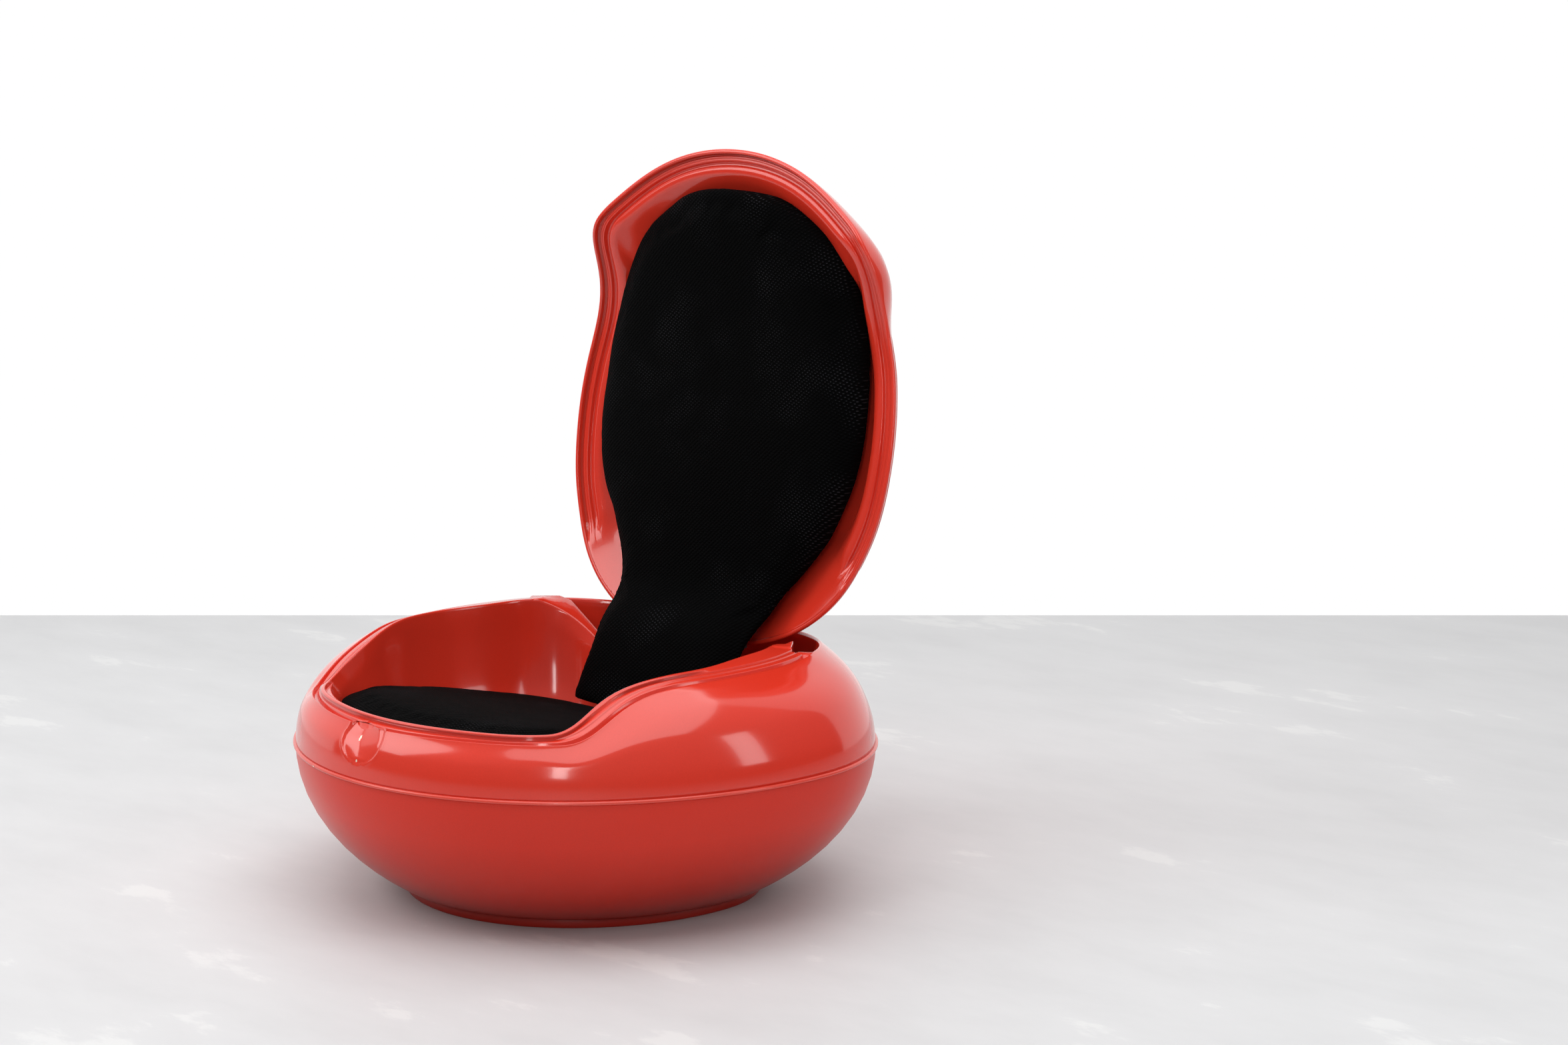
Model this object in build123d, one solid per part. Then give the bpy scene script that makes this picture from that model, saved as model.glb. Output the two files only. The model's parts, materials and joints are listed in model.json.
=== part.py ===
"""Pod garden chair with a hinged lid, drawn open.

Frame: millimetres, +Z up, floor at z = 0, the front of the chair towards -Y and the sitter's left
towards +X. The origin lies on the floor, on the plane of symmetry, halfway along the pod.
The lid is drawn shut, where its rim follows the rim of the base, and is then turned open.
"""
from math import cos, hypot, radians, sin
import os

from build123d import *

# ---- pod outline in plan: two half ellipses that meet at the widest place
HALF_WIDTH = 420.0
HALF_LENGTH = 390.0
WIDEST_Y = 60.0
WALL = 7.0

# ---- heights
FOOT_HEIGHT = 15.0
BOWL_DEPTH = 256.0        # vertical half axis of the lower half, cut off by the foot
SEAM_Z = 210.0            # joint of the two base shells
BEAD_HEIGHT = 5.0
BEAD_PROUD = 3.5
FRONT_RIM_Z = 283.0
ARM_RIM_Z = 342.0
LID_TOP_Z = 430.0
LID_HALF_SPAN = 340.0     # mean half span of the lid, which turns an inset into a scale

# ---- foot ring, as shares of the plan outline
FOOT_SCALE = 0.6215
FOOT_WIDTH = 30.0

# ---- rim line seen from the side (y, z): level front, swung rise, level arm, gentle fall
RIM_FRONT = (-470, FRONT_RIM_Z)
RIM_RISE = [(-262, FRONT_RIM_Z), (-215, FRONT_RIM_Z), (-190, ARM_RIM_Z), (-60, ARM_RIM_Z)]
RIM_FALL = [(150, ARM_RIM_Z), (225, ARM_RIM_Z), (310, 331), (385, 320)]
RIM_BACK = (440, 312)

# ---- plan outlines, +X half, from the front centre to the back centre
RIM_OUTER = [
    (0, -367), (144, -336), (239, -278), (274, -228), (284, -160), (305, -80),
    (318.5, 30), (303, 146), (259, 229.5), (157, 313), (0, 346.5),
]
RIM_LIP = [
    (0, -343), (135, -318), (222, -265), (241, -226), (245, -181), (268, -95),
    (276, -10), (262, 65), (243, 140), (205, 178), (110, 187), (0, 188),
]
LID_EDGE = [
    (0, -371), (143, -341), (236, -283), (275, -233), (284, -164), (304, -82),
    (317.5, 30), (303, 146), (260, 229), (163, 305), (0, 334),
]
LID_GAP = 3.0             # from the rim line up to the lid's edge

LID_RECESS = [
    (0, -316), (125, -293), (208, -240), (252, -142), (270, -20), (268, 50),
    (252, 110), (225, 165), (192, 215), (172, 255), (120, 293), (0, 297),
]
BACK_PAD = [
    (0, -304), (120, -283), (198, -232), (242, -140), (259, -21), (257, 49),
    (243, 104), (218, 155), (160, 185), (80, 192), (0, 193),
]

PAD_BACK_Z = 376.0
BOARD_Z = 376.5
BOARD_T = 5.0

# ---- gutter steps: (start inside the rim, end, height over the rim line)
GUTTER_STEPS = [(12.0, 20.0, 2.0), (20.0, 27.0, 4.5)]
GUTTER_BED = -7.0
GUTTER_UNDER = -14.0
GUTTER_IN = 27.0
GUTTER_END_Y = 150.0
LIP_OUT_RISE = 6.0
LIP_RISE = 9.5

# ---- tub
TUB_WALL = 6.0
TUB_FLOOR_Z = 150.0
TUB_SECTIONS = [(362.0, 1.0), (300.0, 0.985), (240.0, 0.95), (190.0, 0.88), (150.0, 0.74)]
TUB_DIP_HALF = 150.0
TUB_DIP_Z = 292.0
COLLAR_SCALE = 0.58
COLLAR_WALL = 14.0
BOLT_SEAT_Y = 190.0

# ---- seat cushion: gap to the tub, (height, share of the tub it fills), (y, crown height)
SEAT_GAP = 4.0
SEAT_DRAWN_IN = [(140, 1.02), (200, 1.01), (255, 0.99), (270, 0.955), (282, 0.88), (290, 0.74)]
SEAT_CENTRE_Y = -77.0
SEAT_CROWN = [(-380, 250), (-330, 272), (-250, 288), (-150, 291), (-50, 276), (50, 238), (140, 192),
              (220, 172)]
SEAT_CROWN_DROP = 26.0

TONGUE_LOW_Z = 212.0
TONGUE_HALF = 146.0
BUFFER_T = 13.0

# ---- hinge
HINGE_Y = 281.0
HINGE_Z = 363.0
OPEN_ANGLE = 100.0
SHAFT_D = 16.0
SHAFT_HALF = 112.0
BRACKET_X = 100.0
BRACKET_T = 8.0
BRACKET_FOOT_Y = 207.0
BRACKET_FOOT_T = 4.0
ARM_X = 76.0
ARM_T = 14.0
ARM_BAR_Z = 383.0
ARM_BAR_T = 6.0
WELL_HALF = 152.0
WELL_Y = 200.0
BUSH_D = 22.0
RUNNING_GAP = 0.05
EYE_R = 16.0
CLIP_T = 2.5

HINGE_AXIS = Axis((0, HINGE_Y, HINGE_Z), (1, 0, 0))


# ------------------------------------------------------------------ outlines
def closed_outline(points):
    """Face bounded by a smooth curve through the +X half of points and its mirror image."""
    half = Edge.make_spline([Vector(*p) for p in points], tangents=[Vector(1, 0), Vector(-1, 0)])
    return Face(Wire([half, half.mirror(Plane.YZ)]))


def moved_in(points, inset):
    """The half outline moved inwards by inset, square to itself."""
    mirrored = [(-points[1][0], points[1][1])] + list(points) + [(-points[-2][0], points[-2][1])]
    result = []
    for before, here, after in zip(mirrored, mirrored[1:], mirrored[2:]):
        run, rise = after[0] - before[0], after[1] - before[1]
        length = hypot(run, rise)
        result.append((here[0] - inset * rise / length, here[1] + inset * run / length))
    result[0] = (0, result[0][1])
    result[-1] = (0, result[-1][1])
    return result


def scaled(points, share, shift_y=0.0):
    """The half outline scaled about the origin and slid along Y."""
    return [(x * share, y * share + shift_y) for x, y in points]


def shaped(points, wide, front, back):
    """The half outline scaled by its own share across, to the front and to the back."""
    return [(x * wide, y * (front if y < 0 else back)) for x, y in points]


def egg(share, grow=0.0, rear=None):
    """Half outline of the pod in plan, scaled by share and grown by grow; rear is the rear's share."""
    points = []
    for step in range(9):
        angle = radians(-90 + step * 22.5)
        reach = (HALF_LENGTH + WIDEST_Y) * share
        if angle > 0:
            reach = (HALF_LENGTH - WIDEST_Y) * (rear or share)
        points.append((
            (HALF_WIDTH * share + grow) * cos(angle),
            WIDEST_Y * share + (reach + grow) * sin(angle),
        ))
    points[0] = (0, points[0][1])
    points[-1] = (0, points[-1][1])
    return points


def at_height(points, z):
    """The outline's face at height z."""
    return Pos(0, 0, z) * closed_outline(points)


def stack(sections):
    """Smooth solid through (half outline, z) sections."""
    return Solid.make_loft([at_height(points, z).outer_wire() for points, z in sections])


def prism(points, low, high):
    """Upright prism over a half outline."""
    return extrude(at_height(points, low), high - low)


def ring(outer, inner, low, high):
    """Upright wall between two half outlines."""
    return prism(outer, low, high) - prism(inner, low - 1, high + 1)


# ------------------------------------------------------------------ rim surface
def rim_side_face(rise, level):
    """Area in the YZ plane between the rim line, lifted by rise, and a level line."""
    def lifted(point):
        return Vector(0, point[0], point[1] + rise)

    swing = Edge.make_bezier(*[lifted(point) for point in RIM_RISE])
    fall = Edge.make_bezier(*[lifted(point) for point in RIM_FALL])
    corners = [fall @ 1, lifted(RIM_BACK), Vector(0, RIM_BACK[0], level)]
    corners += [Vector(0, RIM_FRONT[0], level)]
    corners += [lifted(RIM_FRONT), swing @ 0]
    edges = [Edge.make_line(start, end) for start, end in zip(corners, corners[1:])]
    return Face(Wire([swing, Edge.make_line(swing @ 1, fall @ 0), fall] + edges))


def below_rim(rise):
    """Everything below the rim line lifted by rise."""
    return extrude(rim_side_face(rise, -30), 480, dir=(1, 0, 0), both=True)


def above_rim(rise):
    """Everything above the rim line lifted by rise."""
    return extrude(rim_side_face(rise, 600), 480, dir=(1, 0, 0), both=True)


def block(x_low, x_high, y_low, y_high, z_low, z_high):
    """Plain box between its limits."""
    size = (x_high - x_low, y_high - y_low, z_high - z_low)
    centre = ((x_low + x_high) / 2, (y_low + y_high) / 2, (z_low + z_high) / 2)
    return Pos(*centre) * Box(*size)


def across(x_low, x_high, y, z, diameter):
    """Round bar along X."""
    bar = Rot(0, 90, 0) * Cylinder(diameter / 2, x_high - x_low)
    return Pos((x_low + x_high) / 2, y, z) * bar


# ------------------------------------------------------------------ base shells
def bowl_share(z):
    """Share of the plan outline at height z of the lower half."""
    return (1 - ((SEAM_Z - z) / BOWL_DEPTH) ** 2) ** 0.5


def make_lower_shell():
    heights = [FOOT_HEIGHT, 32, 60, 100, 150, SEAM_Z]
    outer = stack([(egg(bowl_share(z)), z) for z in heights])
    inner = stack([(egg(bowl_share(z), -WALL), z) for z in heights])
    return outer - (inner & block(-500, 500, -500, 500, FOOT_HEIGHT + WALL, SEAM_Z + 1))


def make_foot_ring():
    return ring(egg(FOOT_SCALE), egg(FOOT_SCALE, -FOOT_WIDTH), 0, FOOT_HEIGHT)


def foot_screw_places():
    """Places of the screws on the middle line of the foot ring."""
    middle = egg(FOOT_SCALE, -FOOT_WIDTH / 2)
    places = [middle[1], middle[4], middle[7]]
    return [(side * x, y) for x, y in places for side in (-1, 1)]


def screw(length, shank_d, head_d, head_h):
    """Screw pointing up, with the bearing face of its head at the origin."""
    return Pos(0, 0, length / 2) * Cylinder(shank_d / 2, length) + Pos(0, 0, -head_h / 2) * Cylinder(
        head_d / 2, head_h)


def make_seam_bead():
    return ring(egg(1.0, BEAD_PROUD), egg(1.0, -WALL), SEAM_Z, SEAM_Z + BEAD_HEIGHT)


# upper half: (height, share of the plan outline, share of its rear reach)
UPPER_PROFILE = [
    (SEAM_Z + BEAD_HEIGHT, 0.9998, 0.9998), (240, 0.9925, 0.993), (262, 0.977, 0.979),
    (285, 0.952, 0.957), (305, 0.921, 0.933), (322, 0.880, 0.912), (334, 0.836, 0.893),
    (345, 0.772, 0.862), (351, 0.700, 0.825),
]


def upper_solid(inset, drop):
    """Solid inside the upper shell's skin, drawn in by inset and lowered by drop at the top."""
    sections = []
    for z, share, rear in UPPER_PROFILE:
        lower = drop * (z - UPPER_PROFILE[0][0]) / (UPPER_PROFILE[-1][0] - UPPER_PROFILE[0][0])
        sections.append((egg(share, -inset, rear), z - lower))
    return stack(sections)


def make_upper_shell(outer):
    skin = (outer - upper_solid(WALL, 6.0)) & below_rim(0)
    skin -= prism(RIM_OUTER, ARM_RIM_Z - 90, ARM_RIM_Z + 30)
    front_half = block(-400, 400, -420, GUTTER_END_Y, 200, 400)
    bed = ring(moved_in(RIM_OUTER, -2.5), moved_in(RIM_OUTER, GUTTER_IN), 240, 380)
    gutter = bed & above_rim(GUTTER_UNDER) & below_rim(GUTTER_BED)
    for start, end, height in GUTTER_STEPS:
        step = ring(moved_in(RIM_OUTER, start), moved_in(RIM_OUTER, end), 240, 380)
        gutter += step & above_rim(GUTTER_UNDER) & below_rim(height)
    gutter -= prism(moved_in(RIM_LIP, -TUB_WALL - 0.4), 200, 400)
    shell = skin + (gutter & front_half)
    return cut_grip(shell, outer)


def cut_grip(shell, outer):
    """Finger recess at the front, cut through the rim into a thickened wall."""
    backing = block(-36, 36, -380, -346, 226, FRONT_RIM_Z - 10) & outer
    scoop = Pos(0, -378, 284) * scale(Sphere(1), by=(24, 13, 44))
    return shell + backing - scoop


# ------------------------------------------------------------------ tub
def tub_solid(grow, sink=0.0):
    """Solid inside the tub, grown by grow, with its floor lowered by sink."""
    sections = []
    for z, share in reversed(TUB_SECTIONS):
        points = moved_in(scaled(RIM_LIP, share, -30 * (1 - share)), -grow)
        sections.append((points, z - sink if z == TUB_FLOOR_Z else z))
    return stack(sections)


def rear_dip():
    """Space above the dipped rear wall of the tub."""
    slope_out = 240.0
    line = Polyline(
        (-slope_out, 420), (-slope_out, ARM_RIM_Z + LIP_RISE), (-TUB_DIP_HALF, TUB_DIP_Z),
        (TUB_DIP_HALF, TUB_DIP_Z), (slope_out, ARM_RIM_Z + LIP_RISE), (slope_out, 420), close=True)
    return Pos(0, 290, 0) * extrude(Plane.XZ * make_face(line), 150)


def make_seat_basin(cavity):
    tub = tub_solid(TUB_WALL, TUB_WALL) - cavity
    tub &= below_rim(LIP_RISE)
    lip = ring(moved_in(RIM_OUTER, GUTTER_IN), RIM_LIP, 240, 380) & above_rim(GUTTER_UNDER)
    lip &= block(-400, 400, -420, GUTTER_END_Y, 200, 400)
    lip = (lip & below_rim(LIP_OUT_RISE)) + (
        lip & below_rim(LIP_RISE) & prism(moved_in(RIM_LIP, -9), 200, 400))
    basin = tub + lip
    basin -= rear_dip()
    for side in (-1, 1):
        x = side * BRACKET_X
        basin += block(x - 26, x + 26, 150, BRACKET_FOOT_Y, 222, TUB_DIP_Z - 2) - cavity
    for x, z in bracket_bolt_places():
        basin -= along(x, 140, BOLT_SEAT_Y, z, 15.0)
    return basin


def make_basin_collar():
    points = scaled(RIM_LIP, COLLAR_SCALE, -10)
    return ring(points, moved_in(points, COLLAR_WALL), FOOT_HEIGHT + WALL, TUB_FLOOR_Z - TUB_WALL)


# ------------------------------------------------------------------ cushions
def crown_solid():
    """Everything below the seat's crown: an arch across, high at the front and low at the back."""
    wires = []
    for y, height in SEAT_CROWN:
        left = Vector(-320, y, height - SEAT_CROWN_DROP)
        right = Vector(320, y, height - SEAT_CROWN_DROP)
        arch = Edge.make_bezier(left, Vector(-150, y, height + 4), Vector(150, y, height + 4), right)
        low_right, low_left = Vector(320, y, 100), Vector(-320, y, 100)
        sides = [Edge.make_line(right, low_right), Edge.make_line(low_right, low_left)]
        wires.append(Wire([arch] + sides + [Edge.make_line(low_left, left)]))
    return Solid.make_loft(wires)


def make_seat_cushion():
    """Seat cushion: follows the tub wall with a small gap and is drawn in towards its crown."""
    drawn_in = stack([
        (scaled(RIM_LIP, share, SEAT_CENTRE_Y * (1 - share)), z) for z, share in SEAT_DRAWN_IN
    ])
    return tub_solid(-SEAT_GAP, -0.5) & drawn_in & crown_solid()


def tongue_side(thickness):
    """Side outline of the back tongue: its front face line moved back by thickness."""
    return [
        (251 + thickness * 0.97, 438), (242 + thickness * 0.93, 404 - thickness * 0.2),
        (220 + thickness * 0.80, 372 - thickness * 0.25), (184 + thickness * 0.8, 341 - thickness * 0.2),
        (164 + thickness * 0.85, 311), (142 + thickness * 0.9, 264), (126 + thickness * 0.9, TONGUE_LOW_Z),
    ]


def make_back_tongue():
    front = [Vector(0, y, z) for y, z in tongue_side(0)]
    back = [Vector(0, y, z) for y, z in tongue_side(22)]
    edges = [
        Edge.make_spline(front), Edge.make_line(front[-1], back[-1]),
        Edge.make_spline(back[::-1]), Edge.make_line(back[0], front[0]),
    ]
    return extrude(Face(Wire(edges)), TONGUE_HALF, dir=(1, 0, 0), both=True)


# ------------------------------------------------------------------ lid, drawn shut
def lid_dome(inset, drop):
    """Solid inside the lid's outer surface, drawn in by inset and lowered by drop."""
    profile = [
        (255, 1.0, 1.0, 1.0), (300, 1.0, 0.975, 1.0), (345, 0.985, 0.905, 0.985),
        (372, 0.925, 0.820, 0.945), (395, 0.815, 0.700, 0.860), (412, 0.665, 0.555, 0.730),
        (423, 0.470, 0.390, 0.530), (LID_TOP_Z - 1, 0.230, 0.190, 0.260),
    ]
    less = inset / LID_HALF_SPAN
    return stack([
        (shaped(LID_EDGE, wide - less, front - less, back - less), z - drop)
        for z, wide, front, back in profile
    ])


def make_lid_shell(dome):
    return (dome - lid_dome(6.0, 6.0)) & above_rim(LID_GAP)


def make_lid_liner():
    inside = lid_dome(6.0, 6.0)
    recess = prism(LID_RECESS, 250, 500) & lid_dome(24.0, 24.0)
    pan = prism(moved_in(LID_RECESS, -4), 250, 500) & lid_dome(20.0, 20.0)
    flange = inside & below_rim(22.0) & prism(LID_EDGE, 250, 400)
    liner = (flange + pan) & above_rim(LID_GAP)
    liner -= recess
    keep_front = block(-400, 400, -420, 225, 200, 400)
    outer_groove = ring(moved_in(LID_EDGE, 10), moved_in(LID_EDGE, 20), 250, 400)
    liner -= outer_groove & below_rim(13.0) & keep_front
    liner -= prism(moved_in(LID_EDGE, 20), 250, 400) & below_rim(10.4) & keep_front
    inner_groove = ring(moved_in(LID_EDGE, 28), moved_in(LID_EDGE, 36), 250, 400)
    liner -= inner_groove & below_rim(15.0) & keep_front
    liner -= prism(moved_in(LID_EDGE, 36), 250, 400) & below_rim(12.0) & keep_front
    liner -= block(-WELL_HALF, WELL_HALF, WELL_Y, 360, 200, 420)
    backing = lid_dome(9.0, 9.0)
    for side in (-1, 1):
        x = side * ARM_X
        liner += block(x - 14, x + 14, 116, WELL_Y - 4, ARM_BAR_Z + ARM_BAR_T, 430) & backing
    for x, y in board_screw_places():
        liner += Pos(x, y, BOARD_Z + BOARD_T + 20) * Cylinder(12.0, 40.0) & backing
    return liner


def back_pad_solid():
    """Back cushion: drawn-in sides and a crowned face."""
    profile = [
        (306, 0.62, 0.62, 0.60), (311, 0.83, 0.84, 0.78), (319, 0.945, 0.94, 0.89),
        (332, 0.995, 0.95, 0.96), (350, 0.97, 0.875, 0.985), (364, 0.90, 0.77, 0.975),
        (PAD_BACK_Z, 0.80, 0.68, 0.94),
    ]
    return stack([(shaped(BACK_PAD, wide, front, back), z) for z, wide, front, back in profile])


def board_screw_places():
    """Places of the screws that hold the board under the back cushion."""
    return [(side * 110.0, y) for side in (-1, 1) for y in (-110.0, 50.0)]


def make_back_board():
    return prism(shaped(BACK_PAD, 0.74, 0.62, 0.54), BOARD_Z, BOARD_Z + BOARD_T)


def opened(shape):
    """The shape turned from the shut place to the open place."""
    return shape.rotate(HINGE_AXIS, -OPEN_ANGLE)


# ------------------------------------------------------------------ hinge
def along(x, y_low, y_high, z, diameter):
    """Round bar along Y."""
    return Pos(x, (y_low + y_high) / 2, z) * (Rot(90, 0, 0) * Cylinder(diameter / 2, y_high - y_low))


def plate_along_x(corners, x, thickness):
    """Flat plate square to X with the given (y, z) corners."""
    face = Plane.YZ * make_face(Polyline(*corners, close=True))
    return Pos(x, 0, 0) * extrude(face, thickness / 2, both=True)


def make_hinge_bracket(side):
    x = side * BRACKET_X
    foot = BRACKET_FOOT_Y
    leg = [
        (foot, 226), (foot + 18, 226), (foot + 18, 328), (HINGE_Y + 3.4, HINGE_Z - 7.3),
        (HINGE_Y - 3.4, HINGE_Z + 7.3), (foot + 11, 342.4), (foot, 326),
    ]
    bracket = plate_along_x(leg, x, BRACKET_T)
    bracket += across(x - BRACKET_T / 2, x + BRACKET_T / 2, HINGE_Y, HINGE_Z, 2 * EYE_R)
    bracket += block(x - 24, x + 24, foot, foot + BRACKET_FOOT_T, 228, TUB_DIP_Z - 6)
    return bracket - across(x - 20, x + 20, HINGE_Y, HINGE_Z, SHAFT_D)


def bracket_bolt_places():
    """Places (x, z) of the bolts that hold the brackets to the tub."""
    return [(side * BRACKET_X + dx, z) for side in (-1, 1) for dx in (-16, 16) for z in (240, 274)]


def make_bracket_bolt(x, z):
    """Bolt from the tub side through the block and the bracket's foot."""
    head = along(x, BOLT_SEAT_Y - 4.5, BOLT_SEAT_Y, z, 12.0)
    return head + along(x, BOLT_SEAT_Y, BRACKET_FOOT_Y + BRACKET_FOOT_T + 7, z, 6.0)


def make_bracket_nut(x, z):
    hexagon = Plane.XZ * RegularPolygon(5.8, 6)
    nut = Pos(x, BRACKET_FOOT_Y + BRACKET_FOOT_T + 5, z) * extrude(hexagon, 5.0)
    return nut - along(x, BRACKET_FOOT_Y, BRACKET_FOOT_Y + 20, z, 6.0)


def make_hinge_arm(side):
    x = side * ARM_X
    low, high = x - ARM_T / 2, x + ARM_T / 2
    top = ARM_BAR_Z + ARM_BAR_T
    neck = [
        (188, ARM_BAR_Z), (188, top), (198, top), (HINGE_Y + 4, HINGE_Z + EYE_R - 0.6),
        (HINGE_Y - 11, HINGE_Z - 11), (202, ARM_BAR_Z),
    ]
    arm = block(low - 4, high + 4, 118, 192, ARM_BAR_Z, top)
    arm += plate_along_x(neck, x, ARM_T)
    arm += across(low, high, HINGE_Y, HINGE_Z, 2 * EYE_R)
    return arm - across(low - 9, high + 9, HINGE_Y, HINGE_Z, BUSH_D)


def arm_bolt_places():
    """Places of the bolts that hold the arms to the lid's liner."""
    return [(side * ARM_X, y) for side in (-1, 1) for y in (134.0, 172.0)]


def make_hinge_bush(side):
    """Plain bush in the arm's eye that also spaces the arm from the bracket."""
    inner = ARM_X - ARM_T / 2
    outer = BRACKET_X - BRACKET_T / 2 - 0.5
    low, high = (inner, outer) if side > 0 else (-outer, -inner)
    sleeve = across(low, high, HINGE_Y, HINGE_Z, BUSH_D)
    return sleeve - across(low - 1, high + 1, HINGE_Y, HINGE_Z, SHAFT_D + 2 * RUNNING_GAP)


def make_shaft_clip(side):
    start = BRACKET_X + BRACKET_T / 2 + 1.5
    low, high = (start, start + CLIP_T) if side > 0 else (-start - CLIP_T, -start)
    clip = across(low, high, HINGE_Y, HINGE_Z, SHAFT_D + 8)
    return clip - across(low - 1, high + 1, HINGE_Y, HINGE_Z, SHAFT_D)


def make_stop_buffer(side):
    """Rubber block behind the bracket's leg, where the open lid's edge comes to rest."""
    x = side * BRACKET_X
    face = BRACKET_FOOT_Y + 18
    return block(x - 5, x + 5, face, face + BUFFER_T, 314, 326.5)


# ------------------------------------------------------------------ assembly
def main():
    os.makedirs("parts", exist_ok=True)
    parts = {}

    parts["lower_shell"] = make_lower_shell()
    parts["foot_ring"] = make_foot_ring()
    screws = [Pos(x, y, 6.0) * screw(14.0, 5.0, 10.0, 4.0) for x, y in foot_screw_places()]
    wells = [Pos(x, y, 3.0) * Cylinder(6.0, 6.0) for x, y in foot_screw_places()]
    for well in wells:
        parts["foot_ring"] -= well
    for driven in screws:
        parts["foot_ring"] -= driven
        parts["lower_shell"] -= driven
    parts["foot_screws"] = Compound(screws)
    parts["seam_bead"] = make_seam_bead()

    outer = upper_solid(0, 0)
    parts["upper_shell"] = make_upper_shell(outer)
    cavity = tub_solid(0)
    basin = make_seat_basin(cavity)
    parts["basin_collar"] = make_basin_collar()
    parts["seat_cushion"] = make_seat_cushion()
    parts["back_tongue"] = make_back_tongue()

    bolts = [make_bracket_bolt(x, z) for x, z in bracket_bolt_places()]
    nuts = [make_bracket_nut(x, z) for x, z in bracket_bolt_places()]
    for name, side in (("left", 1), ("right", -1)):
        bracket = make_hinge_bracket(side)
        for bolt in bolts:
            bracket -= bolt
        parts[f"hinge_bracket_{name}"] = bracket
    for bolt in bolts:
        basin -= bolt
    parts["seat_basin"] = basin
    parts["bracket_bolts"] = Compound(bolts)
    parts["bracket_nuts"] = Compound(nuts)
    parts["hinge_shaft"] = across(-SHAFT_HALF, SHAFT_HALF, HINGE_Y, HINGE_Z, SHAFT_D)
    parts["shaft_clips"] = Compound([make_shaft_clip(side) for side in (-1, 1)])
    parts["stop_buffers"] = Compound([make_stop_buffer(side) for side in (-1, 1)])

    dome = lid_dome(0, 0)
    liner = make_lid_liner()
    board = make_back_board()
    board_screws = [Pos(x, y, BOARD_Z + 3) * screw(14.0, 4.0, 8.0, 2.6) for x, y in board_screw_places()]
    for driven in board_screws:
        liner -= driven
        board -= driven
        board -= Pos(0, 0, -0.4) * driven
    arm_bolts = [Pos(x, y, ARM_BAR_Z) * screw(14.0, 5.0, 9.0, 3.5) for x, y in arm_bolt_places()]
    for driven in arm_bolts:
        liner -= driven
    parts["lid_shell"] = opened(make_lid_shell(dome))
    parts["lid_liner"] = opened(liner)
    parts["back_cushion"] = opened(back_pad_solid())
    parts["back_board"] = opened(board)
    parts["board_screws"] = Compound([opened(driven) for driven in board_screws])
    parts["arm_bolts"] = Compound([opened(driven) for driven in arm_bolts])
    for name, side in (("left", 1), ("right", -1)):
        arm = make_hinge_arm(side)
        for driven in arm_bolts:
            arm -= driven
        parts[f"hinge_arm_{name}"] = opened(arm)
        parts[f"hinge_bush_{name}"] = opened(make_hinge_bush(side))

    for name, solid in parts.items():
        export_step(solid, f"parts/{name}.step")


main()
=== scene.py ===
"""Looks of a red pod chair whose hinged lid stands open: lacquered shells, sewn pads, steel hinge.

All sizes are millimetres in the frame of the CAD model and turn into metres when a mesh is made.
The lid is modelled shut, where its rim follows the rim of the base, and is then turned open.
"""
from __future__ import annotations

import json
import logging
import math
from dataclasses import dataclass, field
from enum import Enum
from typing import Sequence

import bmesh
import bpy
import numpy as np
from mathutils import Matrix, Vector

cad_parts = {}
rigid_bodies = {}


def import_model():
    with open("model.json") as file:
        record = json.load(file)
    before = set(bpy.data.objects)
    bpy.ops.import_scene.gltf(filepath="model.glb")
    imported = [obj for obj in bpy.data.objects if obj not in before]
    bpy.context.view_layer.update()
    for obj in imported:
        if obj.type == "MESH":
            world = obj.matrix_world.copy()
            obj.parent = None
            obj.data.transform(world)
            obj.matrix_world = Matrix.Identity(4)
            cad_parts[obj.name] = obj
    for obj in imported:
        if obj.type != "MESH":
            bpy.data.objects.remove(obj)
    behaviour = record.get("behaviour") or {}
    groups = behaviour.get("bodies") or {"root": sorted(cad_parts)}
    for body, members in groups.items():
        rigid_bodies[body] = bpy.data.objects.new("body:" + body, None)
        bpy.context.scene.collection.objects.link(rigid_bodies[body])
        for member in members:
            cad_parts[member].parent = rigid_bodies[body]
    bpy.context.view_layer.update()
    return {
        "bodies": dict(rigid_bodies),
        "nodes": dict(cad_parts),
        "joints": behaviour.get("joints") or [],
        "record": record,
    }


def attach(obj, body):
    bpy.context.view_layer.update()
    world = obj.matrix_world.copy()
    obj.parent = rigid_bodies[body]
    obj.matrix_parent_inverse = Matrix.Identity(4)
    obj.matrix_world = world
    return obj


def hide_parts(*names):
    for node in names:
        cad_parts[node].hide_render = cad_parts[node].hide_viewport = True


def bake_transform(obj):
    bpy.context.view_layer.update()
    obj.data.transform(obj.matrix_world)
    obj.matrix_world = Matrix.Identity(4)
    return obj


LOG = logging.getLogger("pod_chair")
MM = 0.001
HINGE_Y, HINGE_Z = 281.0, 363.0
OPEN_TURN = math.radians(-100.0)
# The middle of the fan of rays on which every ring has its points, and the points of a curve.
CENTRE = np.array([0.0, -40.0])
CURVE_POINTS = 1080
# The pod's plan at its widest: half width, reach to front and rear, and where it is widest.
HALF_WIDTH, FRONT_REACH, REAR_REACH, WIDEST_Y = 420.0, 450.0, 330.0, 60.0
# Heights of the joint between the two base shells and of the top of its bead.
SEAM, BEAD_TOP = 210.0, 215.0
FRONT_RIM, ARM_RIM = 283.0, 342.0

Array = np.ndarray
Pairs = Sequence[tuple[float, float]]
Table = tuple[tuple[float, ...], ...]
Piece = bpy.types.Object
Mesh = bmesh.types.BMesh
Node = bpy.types.Node
Tree = bpy.types.NodeTree
Socket = bpy.types.NodeSocket


class Body(Enum):
    """The two moving groups of the chair."""

    BASE = "base"
    LID = "lid"


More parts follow.
